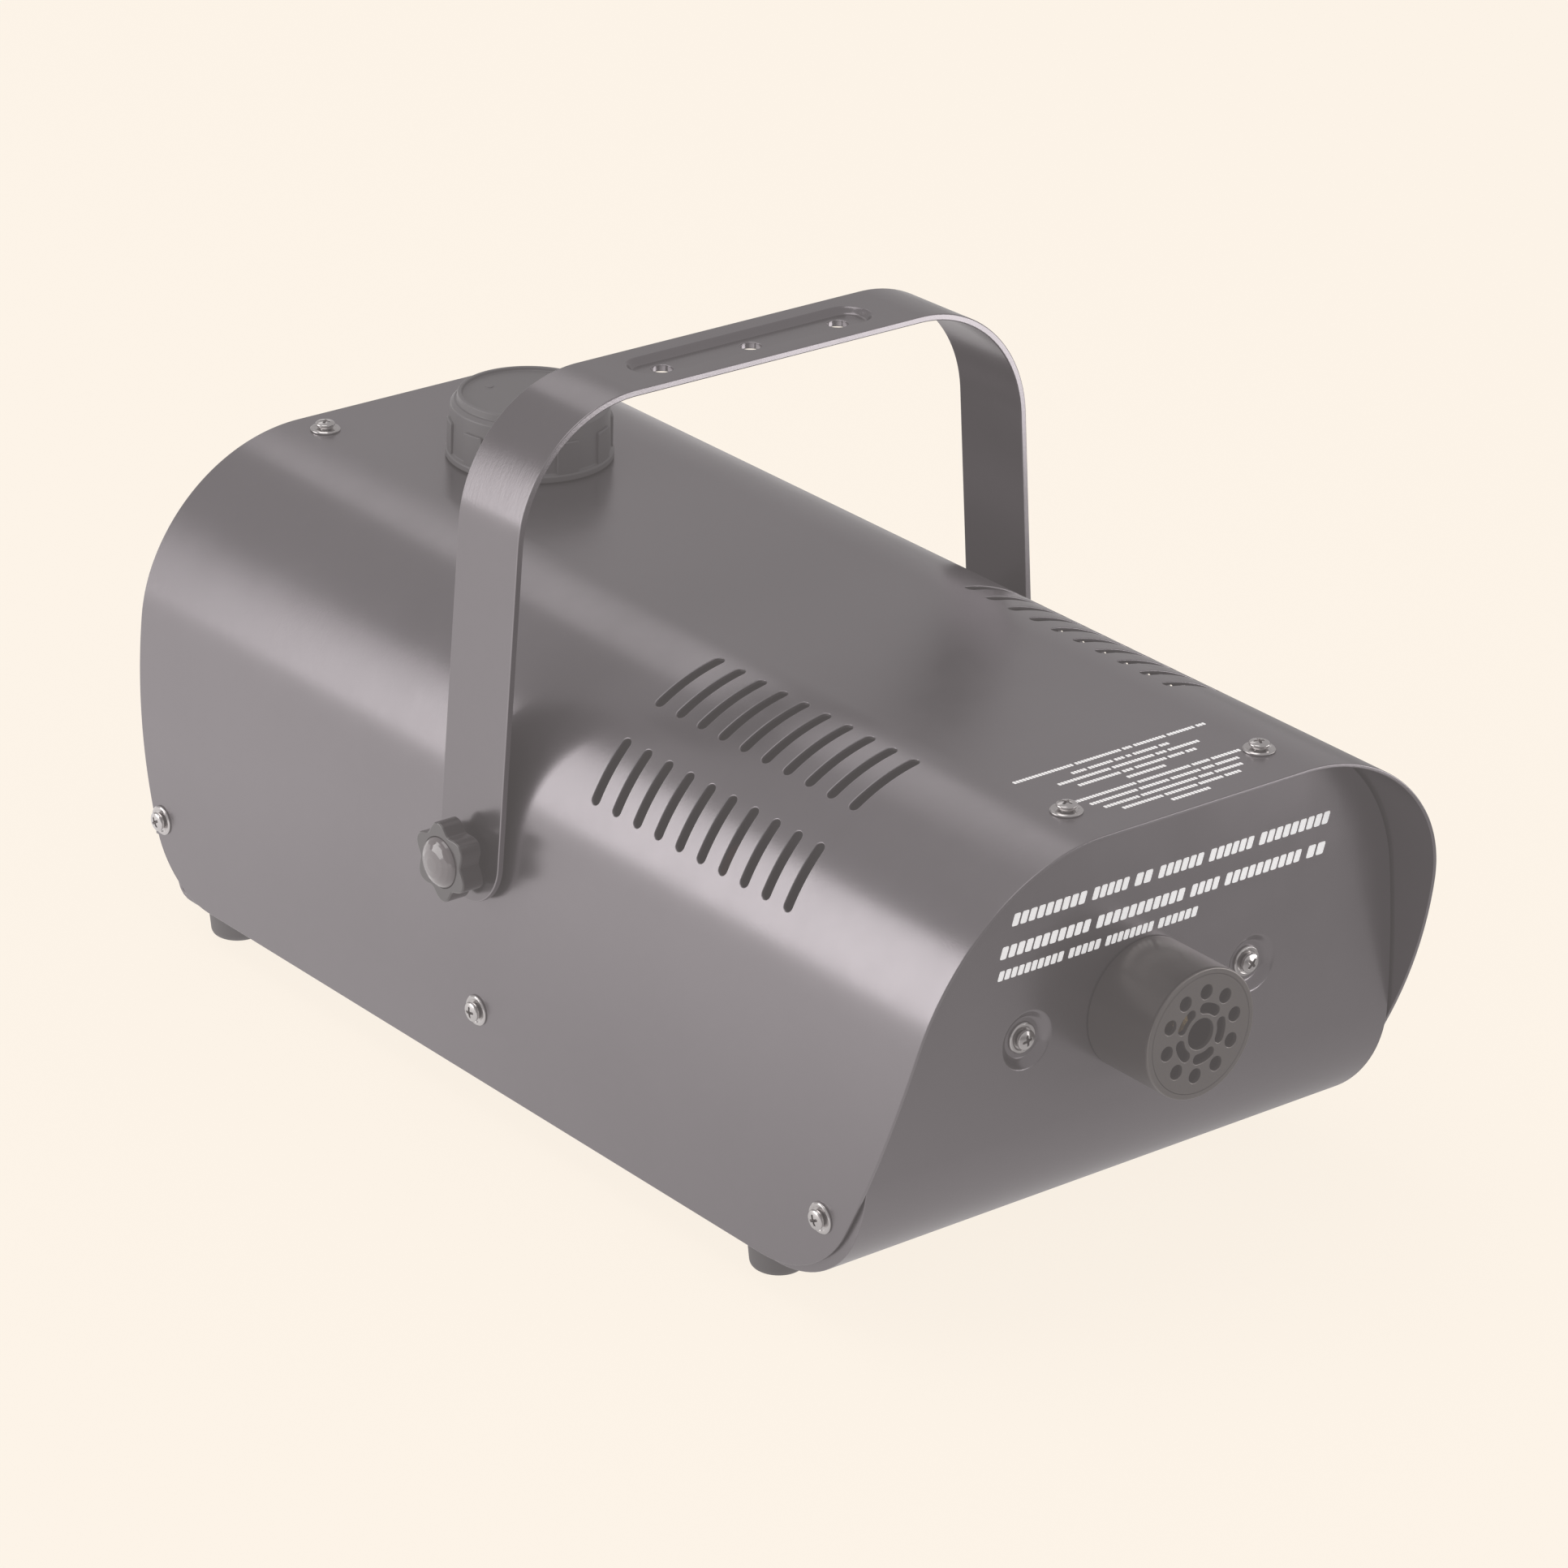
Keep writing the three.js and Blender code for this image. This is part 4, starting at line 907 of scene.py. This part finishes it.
# y of the baseline, row length, relative word lengths
COVER_ROWS = (
    (-155, 75, (2, 6, 7, 2, 10, 13)), (-159.6, 38, (2, 5, 1, 2, 5, 3)), (-163.4, 55, (6, 2, 8, 10)),
    (-167.2, 46, (2, 3, 6, 2, 8)), (-171, 15, (1,)),
    (-175.4, 66, (5, 3, 9, 11)), (-179.2, 58, (4, 2, 5, 5, 8)), (-183, 54, (4, 2, 8, 5)),
    (-186.6, 46, (2, 3, 4, 5)), (-190.4, 15, (1,)),
)
COVER_ROW_HEIGHT = 1.5


def bars(rows, slant, matrix, thickness=0.06):
    """Rows of (x0, x1, baseline, height, [relative word lengths]), each word a run of plain blocks."""
    part = Part()
    for x0, x1, base, height, lengths in rows:
        gap = height * WORD_GAP
        lean = slant * height
        unit = (x1 - x0 - gap * (len(lengths) - 1)) / sum(lengths)
        x = x0
        for length in lengths:
            count = max(1, round(unit * length / (height * BLOCK_PITCH)))
            pitch = unit * length / count
            for i in range(count):
                low = x + pitch * i
                high = low + pitch * BLOCK_FILL
                top = base + height
                outline = [(low, base), (high, base), (high + lean, top), (low + lean, top)]
                outline = round_corners(outline, height * BLOCK_CORNER, 2)
                part.add(plate(outline, thickness, 0.02, matrix, round_steps=1))
            x += unit * length + gap
    return part


def make_marks():
    matrix = Matrix.Translation((0, FRONT_WALL - 0.05, 0)) @ Matrix.Rotation(math.pi / 2, 4, "X")
    build("panel_marks", bars(PANEL_ROWS, 0.3, matrix), M["ink"])
    top = [(-width / 2, width / 2, -y, COVER_ROW_HEIGHT, lengths) for y, width, lengths in COVER_ROWS]
    matrix = Matrix.Translation((0, 0, COVER_TOP + 0.05)) @ Matrix.Rotation(math.pi, 4, "Z")
    build("cover_marks", bars(top, 0.0, matrix, 0.055), M["ink"])


make_marks()


# ---- nozzle ----
def arc_slot(middle, half_span, r_in, r_out):
    r = (r_in + r_out) / 2
    w = (r_out - r_in) / 2
    span = half_span - w / r * 0.6
    outer = arc(0, 0, r_out, middle - span, middle + span, 12)
    cap_end = arc(r * math.cos(middle + span), r * math.sin(middle + span), w, middle + span,
                  middle + span + math.pi, 8)[1:-1]
    inner = arc(0, 0, r_in, middle + span, middle - span, 12)
    cap_start = arc(r * math.cos(middle - span), r * math.sin(middle - span), w, middle - span + math.pi,
                    middle - span + TAU, 8)[1:-1]
    return outer + cap_end + inner + cap_start


def inside_out(part):
    """For profiles drawn with the material on their right."""
    part.faces = [tuple(reversed(f)) for f in part.faces]
    part.normals = [-n for n in part.normals]
    return part


FACE_R = 19.0
VENT_R, VENT_RING_R, VENT_COUNT, VENT_PHASE = 2.35, 13.4, 10, 84
SLOT_R_IN, SLOT_R_OUT, SLOT_COUNT, SLOT_PHASE, SLOT_HALF_SPAN = 6.5, 9.8, 5, 66, 25


def nozzle_holes():
    holes = [circle(5, 40)]
    for i in range(VENT_COUNT):
        a = rad(VENT_PHASE + 360 / VENT_COUNT * i)
        holes.append(circle(VENT_R, 24, (VENT_RING_R * math.cos(a), VENT_RING_R * math.sin(a))))
    for i in range(SLOT_COUNT):
        middle = rad(SLOT_PHASE + 360 / SLOT_COUNT * i)
        holes.append(arc_slot(middle, rad(SLOT_HALF_SPAN), SLOT_R_IN, SLOT_R_OUT))
    return holes


def make_nozzle():
    length = FRONT_WALL - 0.3 - NOZZLE_FACE
    out = place(0, NOZZLE_FACE, AXIS_Z, rx=90)
    bore = NOZZLE_R - NOZZLE_WALL
    tube = inside_out(lathe([(FACE_R, 0), (NOZZLE_R - 0.15, 0), (NOZZLE_R, -1.0), (NOZZLE_R, -length),
                             (bore, -length), (bore, -NOZZLE_WALL), (FACE_R, -NOZZLE_WALL)],
                            [0, 0.5, 0.5, 0.3, 0.3, 0.5, 0], segments=128))
    face = sheet(circle(FACE_R + 0.2, 128), flat(), NOZZLE_WALL, 0.05, holes=nozzle_holes(),
                 hole_edge=0.25, round_steps=2)
    part = tube.moved(out)
    part.add(face.moved(out))
    build("nozzle_cup", part, M["nozzle"], replaces=["nozzle_shroud"])


make_nozzle()


# ---- screws ----
def cross_outline(reach, half):
    points = [(half, -reach), (half, -half), (reach, -half), (reach, half), (half, half), (half, reach),
              (-half, reach), (-half, half), (-reach, half), (-reach, -half), (-half, -half), (-half, -reach)]
    radii = [0.3, 0.35, 0.3] * 4
    return round_corners(points, radii, 3)


def screw_part():
    washer = lathe([(2.1, 0), (5.0, 0), (5.0, 0.55), (4.6, 0.9), (3.9, 0.9), (3.4, 0.6), (2.1, 0.6)],
                   [0.1, 0.25, 0.25, 0.2, 0.15, 0.1, 0.1], segments=56, closed=True, steps=3)

    def dome(u, v):
        return Vector((u, v, 3.2 - 0.07 * (u * u + v * v)))

    rings = [circle(r, 36) for r in (2.3, 2.6, 2.9)]
    head = sheet(circle(3.4, 48), dome, 1.7, 0.5, holes=[cross_outline(1.85, 0.42)], hole_edge=0.14,
                 rings=rings, round_steps=3)
    floor = plate(circle(2.3, 24), 0.3, 0.05, place(z=1.35), round_steps=1)
    shank = lathe([(0, -6), (2, -6), (2, 0.9), (0, 0.9)], [0, 0.4, 0.1, 0], segments=20)
    return washer.add(head).add(floor).add(shank)


SCREW = screw_part()


def make_screws():
    spins = iter((17, 63, 38, 80, 24, 51, 8, 70, 33, 57, 12, 45))
    for end, y in TOP_SCREW_YS.items():
        for side, sign in SIDES.items():
            matrix = facing((sign * TOP_SCREW_X, y, COVER_TOP + 0.02), (0, 0, 1), rad(next(spins)))
            build(f"screw_top_{end}_{side}", SCREW.moved(matrix), M["nickel"],
                  replaces=[f"top_screw_{end}_{side}"])
    for end, y in SIDE_SCREW_YS.items():
        for side, sign in SIDES.items():
            u = sign * side_u(SIDE_SCREW_Z)
            normal = surface_normal(cover_surface, u, y)
            matrix = facing(cover_surface(u, y) + normal * 0.02, normal, rad(next(spins)))
            build(f"screw_side_{end}_{side}", SCREW.moved(matrix), M["nickel"],
                  replaces=[f"side_screw_{end}_{side}"])
    for side, sign in SIDES.items():
        point = (sign * DIMPLE_X, FRONT_WALL + DIMPLE_DEPTH - 0.02, AXIS_Z)
        matrix = facing(point, (0, -1, 0), rad(next(spins)))
        build(f"screw_panel_{side}", SCREW.moved(matrix), M["nickel"],
              replaces=[f"panel_screw_{side}"])


make_screws()


# ---- filler cap ----
def make_cap():
    inside_top = 176.9
    profile = [
        (0, inside_top), (21.8, inside_top), (21.8, CAP_BOTTOM), (27.4, CAP_BOTTOM), (27.4, CAP_BOTTOM + 2.1),
        (26.2, CAP_BOTTOM + 2.7), (25.9, 176.1), (24.7, 177.3), (23.9, 177.3), (23.6, 179.8),
        (22.3, 179.8), (21.9, 178.7), (0, 178.6),
    ]
    radii = [0, 0.5, 0.3, 0.5, 0.7, 0.5, 0.9, 0.5, 0.5, 0.6, 0.5, 0.5, 0]
    part = lathe(profile, radii, segments=144)
    part = part.moved(place(CAP_X, CAP_Y, 0))
    ribs = 10
    half_turn = rad(8.6)
    r0 = 26.95

    def wall(u, v):
        a = u / r0
        return Vector((r0 * math.cos(a), r0 * math.sin(a), v))

    low, high = CAP_BOTTOM + 1.8, 171.6
    width = half_turn * r0
    outline = rounded_box(width, (high - low) / 2, 0.9, 4, centre=(0, (low + high) / 2))
    outline = subdivide(outline, 1.6)
    creases = [width * k / 6 for k in range(-5, 6)]
    rib = sheet(outline, wall, 1.1, 0.32, creases=creases, round_steps=3)
    for i in range(ribs):
        part.add(rib.moved(place(CAP_X, CAP_Y, 0, rz=8.8 + 360 / ribs * i)))
    pip = lathe([(0, 178.5), (1.5, 178.5), (1.3, 178.95), (0, 179.0)], [0, 0.2, 0.3, 0], segments=24)
    part.add(pip.moved(place(CAP_X - 6.5, CAP_Y + 13.5, 0)))
    build("filler_cap_moulding", part, M["cap"], body="filler_cap", replaces=["tank_cap"])


make_cap()


# ---- bracket ----
def bracket_track():
    lean = math.atan(LEG_LEAN)
    top_x = LEG_OUT - LEG_LEAN * (BRACKET_TOP - PIVOT_Z)
    bend_x = top_x - BRACKET_BEND_R * (1 - math.tan(lean / 2))
    bend_z = BRACKET_TOP - BRACKET_BEND_R
    start_x = bend_x + BRACKET_BEND_R * math.cos(lean)
    start_z = bend_z + BRACKET_BEND_R * math.sin(lean)
    foot_z = PIVOT_Z - STRIP_W / 2
    leg = (start_z - foot_z) / math.cos(lean)
    foot_x = start_x + leg * math.sin(lean)
    turn = math.pi / 2 - lean
    track = Track((foot_x, foot_z), math.pi / 2 + lean, [
        (leg, 0), (BRACKET_BEND_R * turn, turn), (2 * bend_x, 0), (BRACKET_BEND_R * turn, turn), (leg, 0),
    ])
    return track


strip = bracket_track()
STRIP_MIDDLE = strip.length / 2
CHANNEL_HALF = 46.6
CHANNEL_OUT = 8.2
CHANNEL_FLOOR = 5.9
CHANNEL_DEPTH = 2.1


def channel_depth(u, v):
    along = max(abs(u - STRIP_MIDDLE) - (CHANNEL_HALF - CHANNEL_OUT), 0)
    return CHANNEL_DEPTH * (1 - smooth_step(CHANNEL_FLOOR, CHANNEL_OUT, math.hypot(along, v)))


def strip_surface(u, v):
    """u runs up the right leg, over the top and down the left leg; v is back from the middle."""
    x, z = strip.at(u)
    if abs(u - STRIP_MIDDLE) < CHANNEL_HALF + 1:
        z -= channel_depth(u, v)
    return Vector((x, PIVOT_Y - v, z))


def make_bracket():
    half = STRIP_W / 2
    end = arc(half, 0, half, math.pi * 1.5, math.pi / 2, 28)
    outline = end + [(strip.length - u, -v) for u, v in end]
    outline = subdivide(outline, 2.6)
    holes = [circle(HANG_HOLE_R, 32, (STRIP_MIDDLE + k * HANG_HOLE_PITCH, 0)) for k in (-1, 0, 1)]
    holes += [circle(3.5, 28, (half, 0)), circle(3.5, 28, (strip.length - half, 0))]
    rings = []
    for k in range(0, 13):
        r = CHANNEL_FLOOR + (CHANNEL_OUT - CHANNEL_FLOOR) * k / 12
        ring = stadium(CHANNEL_HALF - CHANNEL_OUT, r, 14, centre=(STRIP_MIDDLE, 0))
        rings.append(subdivide(ring, 4))

    creases = strip.arcs(rad(2.5))
    part = sheet(outline, strip_surface, STRIP_T, 0.4, holes=holes, creases=creases, rings=rings,
                 hole_edge=0.3, round_steps=3)
    stand_back = (Matrix.Translation((0, PIVOT_Y, PIVOT_Z)) @ Matrix.Rotation(rad(-BRACKET_REST), 4, "X")
                  @ Matrix.Translation((0, -PIVOT_Y, -PIVOT_Z)))
    build("hanging_strip", part.moved(stand_back), M["bracket"], body="hanging_bracket",
          replaces=["bracket"])


make_bracket()


# ---- hand knobs ----
KNOB_LOBES = 6
KNOB_FACE = 118.8
KNOB_PHASE = 8
LOBE_POWER = 0.8


def star(radius_tip, radius_notch, count=144):
    points = []
    for i in range(count):
        a = TAU * i / count
        wave = 0.5 + 0.5 * math.cos(KNOB_LOBES * a)
        r = radius_notch + (radius_tip - radius_notch) * wave ** LOBE_POWER
        points.append((r * math.cos(a), r * math.sin(a)))
    return points


def make_knobs():
    for side, sign in SIDES.items():
        base = Matrix.Translation((sign * KNOB_FACE, PIVOT_Y, PIVOT_Z))
        turn = Matrix.Rotation(sign * math.pi / 2, 4, "Y") @ Matrix.Rotation(rad(KNOB_PHASE), 4, "Z")
        out = base @ turn
        body = sheet(star(12.9, 10.2), flat(), 7.7, 0.6, holes=[circle(8.25, 64)], hole_edge=0.2,
                     round_steps=4)
        well = lathe([(0, -2.2), (8.8, -2.2), (8.8, -1.9), (0, -1.9)], [0, 0.1, 0.1, 0], segments=48)
        hub = lathe([(3.6, -8.5), (7.4, -8.5), (7.8, -7.2), (3.6, -7.2)], [0.2, 0.4, 0.4, 0.2], segments=48,
                    closed=True)
        knob = body.add(well).add(hub)
        build(f"knob_star_{side}", knob.moved(out), M["knob"], body=f"clamp_knob_{side}",
              replaces=[f"knob_{side}"])
        dome = lathe([(0, -1.8), (8.05, -1.8), (8.05, 0.1), (7.6, 1.0), (6.4, 1.95), (4.5, 2.75),
                      (2.3, 3.15), (0, 3.3)], [0, 0.2, 0.6, 3, 3, 3, 3, 0], segments=96, steps=6)
        build(f"knob_dome_{side}", dome.moved(out), M["dome"], body=f"clamp_knob_{side}",
              replaces=[f"knob_cap_{side}"])


make_knobs()


# ---- feet ----
PAD_X = 89.5
PAD_YS = {"front": -118.5, "rear": 165}


def make_feet():
    foot = lathe([(0, 3), (3.6, 3), (3.6, 0), (8.4, 0), (9.6, 10.4), (0, 10.4)], [0, 0.4, 0.5, 3.4, 0.4, 0],
                 segments=64, steps=8)
    for end, y in PAD_YS.items():
        for side, sign in SIDES.items():
            build(f"foot_pad_{end}_{side}", foot.moved(place(sign * PAD_X, y, 0)), M["foot"],
                  replaces=[f"foot_{end}_{side}"])


make_feet()


# ---- rear fittings; local x points to -X so that they read the right way round from behind ----
def rear(x, out=0.0):
    return Matrix.Translation((x, REAR_WALL + 0.3 + out, FITTING_Z)) @ Matrix.Rotation(math.pi, 4, "Z") @ \
        Matrix.Rotation(math.pi / 2, 4, "X")


def make_inlet():
    lozenge = round_corners([(-25, 0), (-17, -12), (17, -12), (25, 0), (17, 12), (-17, 12)],
                            [4, 3, 3, 4, 3, 3], 6)
    mouth = round_corners([(-12, -8), (12, -8), (12, 4), (8, 8), (-8, 8), (-12, 4)], 0.8, 3)
    screws = [circle(1.9, 24, (x, 0)) for x in (-20, 20)]
    part = plate(lozenge, 3, 0.5, rear(INLET_X, 3), holes=[mouth] + screws, hole_edge=0.3, round_steps=3)
    part.add(plate(rounded_box(13.6, 9.8, 2), 16.6, 0.2, rear(INLET_X, -0.4), holes=[mouth], round_steps=1))
    part.add(plate(rounded_box(13, 9.2, 1.5), 2, 0.2, rear(INLET_X, -14), round_steps=1))
    build("inlet_moulding", part, M["black"], replaces=["mains_inlet"])
    pins = Part()
    for x, z in ((-7, -2), (7, -2), (0, 3)):
        pins.add(plate(rounded_box(1.0, 2.0, 0.25, 3, centre=(x, z)), 14, 0.25, rear(INLET_X, -1.2)))
    for x in (-20, 20):
        head = lathe([(0, 0), (3.2, 0), (3.1, 1.0), (1.8, 1.6), (0, 1.7)], [0, 0.1, 0.6, 1, 0], segments=32)
        pins.add(head.moved(rear(INLET_X, 3.02) @ Matrix.Translation((x, 0, 0))))
    build("inlet_pins", pins, M["nickel"])


def make_fuse():
    collar = lathe([(4.6, -16), (6, -16), (6, 0), (8.5, 0), (8.3, 2.5), (4.6, 2.5)],
                   [0.2, 0.3, 0.1, 0.3, 0.5, 0.3], segments=64, closed=True)
    build("fuse_collar", collar.moved(rear(FUSE_X)), M["black"], replaces=["fuse_holder"])
    ribs = 24
    steps = ribs * 6
    outline = []
    for i in range(steps):
        a = TAU * i / steps
        r = 6.75 + 0.22 * math.cos(ribs * a)
        outline.append((r * math.cos(a), r * math.sin(a)))
    slot_hole = rounded_box(4.4, 0.8, 0.3, 3)
    cap = sheet(outline, flat(), 4.2, 0.45, holes=[slot_hole], hole_edge=0.15, round_steps=3)
    cap = cap.moved(rear(FUSE_X, 7.2))
    stem = lathe([(0, -12), (4.1, -12), (4.1, 5.6), (0, 5.6)], [0, 0.4, 0.2, 0], segments=32)
    cap.add(stem.moved(rear(FUSE_X)))
    build("fuse_grip", cap, M["black"], body="fuse_carrier", replaces=["fuse_cap"])


ROCKER_REST = -8


def make_switch():
    window = rounded_box(8.5, 5.5, 0.6)
    bezel = plate(rounded_box(12, 9, 1.8), 2, 0.6, rear(SWITCH_X, 2), holes=[window], hole_edge=0.3,
                  round_steps=3)
    bezel.add(plate(rounded_box(9.6, 6.6, 1), 14, 0.2, rear(SWITCH_X, -0.02), holes=[window],
                    round_steps=1))
    bezel.add(plate(rounded_box(9.4, 6.4, 0.9), 1, 0.1, rear(SWITCH_X, -13), round_steps=1))
    build("switch_bezel", bezel, M["black"], replaces=["switch_body"])
    pivot = Vector((SWITCH_X, REAR_WALL + 0.3 - 1.5, FITTING_Z))
    tilt = (Matrix.Translation(pivot) @ Matrix.Rotation(rad(ROCKER_REST), 4, "Z")
            @ Matrix.Rotation(math.pi, 4, "Z") @ Matrix.Rotation(math.pi / 2, 4, "X"))

    def face(u, v):
        return Vector((u, v, 2.9 + 1.7 * (u / 7.6) ** 2 - 0.01 * v * v))

    outline = subdivide(rounded_box(7.6, 4.9, 0.6), 1.2)
    creases = [-7 + k for k in range(15)]
    rocker = sheet(outline, face, 4.2, 0.5, creases=creases, round_steps=3).moved(tilt)
    build("rocker", rocker, M["dome"], body="power_switch", replaces=["switch_rocker"])
    lift = Matrix.Translation((0, 0, 0.04))
    marks = sheet(rounded_box(0.35, 1.7, 0.15, 3, centre=(4.6, 0)), face, 0.12, 0.03, round_steps=1)
    marks.add(sheet(circle(1.7, 40, (-4.6, 0)), face, 0.12, 0.03, holes=[circle(1.15, 32, (-4.6, 0))],
                    round_steps=1))
    build("rocker_marks", marks.moved(tilt @ lift), M["ink"], body="power_switch")


REMOTE_SCREWS = ((-9.8, 11.8), (9.8, -11.8))
CONTACT_RING_R = 5.2


def make_remote():
    flange = rounded_box(13, 15.5, 3)
    fixings = [circle(1.6, 24, at) for at in REMOTE_SCREWS]
    part = plate(flange, 2, 0.45, rear(REMOTE_X, 2), holes=[circle(9, 72)] + fixings, hole_edge=0.3,
                 round_steps=3)
    cup = lathe([(0, -14), (11, -14), (11, 1.6), (10.4, 2.9), (9, 2.9), (9, -11), (0, -11)],
                [0, 0.3, 0.3, 0.4, 0.4, 0.3, 0], segments=72)
    part.add(cup.moved(rear(REMOTE_X)))
    part.add(plate(rounded_box(1.5, 1.0, 0.3, 3, centre=(0, -8.4)), 11, 0.2, rear(REMOTE_X, 0)))
    build("remote_moulding", part, M["black"], replaces=["remote_socket"])
    pins = Part()
    pin = lathe([(0, -11.2), (1.2, -11.2), (1.2, -2.6), (0.7, -2), (0, -2)], [0, 0.1, 0.4, 0.3, 0],
                segments=24)
    for a in (rad(90), rad(210), rad(330)):
        at = Matrix.Translation((CONTACT_RING_R * math.cos(a), CONTACT_RING_R * math.sin(a), 0))
        pins.add(pin.moved(rear(REMOTE_X) @ at))
    for x, z in REMOTE_SCREWS:
        head = lathe([(0, 0), (2.8, 0), (2.7, 0.9), (1.6, 1.4), (0, 1.5)], [0, 0.1, 0.5, 0.8, 0], segments=28)
        pins.add(head.moved(rear(REMOTE_X, 2.02) @ Matrix.Translation((x, z, 0))))
    build("remote_contacts", pins, M["nickel"])


make_inlet()
make_fuse()
make_switch()
make_remote()


# ---- floor, world and lights ----
CREAM = (0.962, 0.880, 0.777)
HAZE = (0.089, 0.080, 0.079)


def grid_mesh(name, size, count=8):
    side = count + 1
    mesh = bpy.data.meshes.new(name)
    spots = [size * (2 * i / count - 1) for i in range(side)]
    verts = [(x, y, 0) for y in spots for x in spots]
    faces = [(j * side + i, j * side + i + 1, (j + 1) * side + i + 1, (j + 1) * side + i)
             for j in range(count) for i in range(count)]
    mesh.from_pydata(verts, [], faces)
    return mesh


def make_floor():
    """The floor that the camera sees, and the softly graded one that the object is lit by."""
    floor = bpy.data.objects.new("floor", grid_mesh("floor", 8.0))
    floor.location.z = -0.0002
    s = Shader("floor")
    s.bsdf.inputs["Base Color"].default_value = (*tone(CREAM, 0.10), 1)
    s.bsdf.inputs["Roughness"].default_value = 0.9
    s.bsdf.inputs["Specular IOR Level"].default_value = 0.0
    s.bsdf.inputs["Emission Color"].default_value = (*CREAM, 1)
    s.bsdf.inputs["Emission Strength"].default_value = 0.95
    floor.data.materials.append(s.material)
    floor.visible_diffuse = floor.visible_glossy = False
    bounce = bpy.data.objects.new("floor_bounce", grid_mesh("floor_bounce", 8.0))
    bounce.location.z = -0.0004
    b = Shader("floor_bounce")
    gradient = b.add("ShaderNodeVectorMath", operation="DOT_PRODUCT")
    b.join(b.position, gradient.inputs[0])
    gradient.inputs[1].default_value = (-0.75, 0.66, 0)
    glow = b.spread(gradient.outputs["Value"], -0.45, 0.35, *BOUNCE)
    b.bsdf.inputs["Base Color"].default_value = (0.1, 0.1, 0.1, 1)
    b.bsdf.inputs["Specular IOR Level"].default_value = 0.0
    b.bsdf.inputs["Emission Color"].default_value = (1, 0.965, 0.955, 1)
    b.join(glow, b.bsdf.inputs["Emission Strength"])
    bounce.data.materials.append(b.material)
    bounce.visible_camera = False
    for plane in (floor, bounce):
        bpy.context.scene.collection.objects.link(plane)


def softbox(name, toward, distance, width, height, radiance, color=(1, 0.97, 0.96), aim=(0, 0, 0.09)):
    light = bpy.data.lights.new(name, "AREA")
    light.shape = "RECTANGLE"
    light.size, light.size_y = width, height
    light.energy = radiance * math.pi * width * height
    light.color = color
    lamp = bpy.data.objects.new(name, light)
    direction = Vector(toward).normalized()
    lamp.location = Vector(aim) + direction * distance
    lamp.rotation_mode = "QUATERNION"
    lamp.rotation_quaternion = (-direction).to_track_quat("-Z", "Y")
    lamp.visible_camera = False
    bpy.context.scene.collection.objects.link(lamp)


BOUNCE = (0.12, 1.02)
WORLD = 0.42


def make_light():
    world = bpy.data.worlds.new("studio")
    world.use_nodes = True
    back = world.node_tree.nodes["Background"]
    back.inputs["Color"].default_value = (1.0, 0.965, 0.965, 1)
    back.inputs["Strength"].default_value = WORLD
    bpy.context.scene.world = world
    softbox("key_left", (-0.82, 0.50, 0.24), 3.0, 2.0, 1.8, 2.85)
    softbox("front_card", (0.68, -0.70, -0.155), 0.58, 0.45, 0.4, 3.0)
    softbox("rear_top", (0.275, 0.70, 0.655), 2.5, 0.9, 0.7, 0.7)
    softbox("overhead", (-0.2, 0.1, 1.0), 2.4, 1.5, 1.5, 1.6)
    view = bpy.context.scene.view_settings
    view.view_transform = "Standard"
    view.look = "None"
    view.use_curve_mapping = True
    view.curve_mapping.black_level = tuple(-h for h in HAZE)
    view.curve_mapping.update()


make_floor()
make_light()
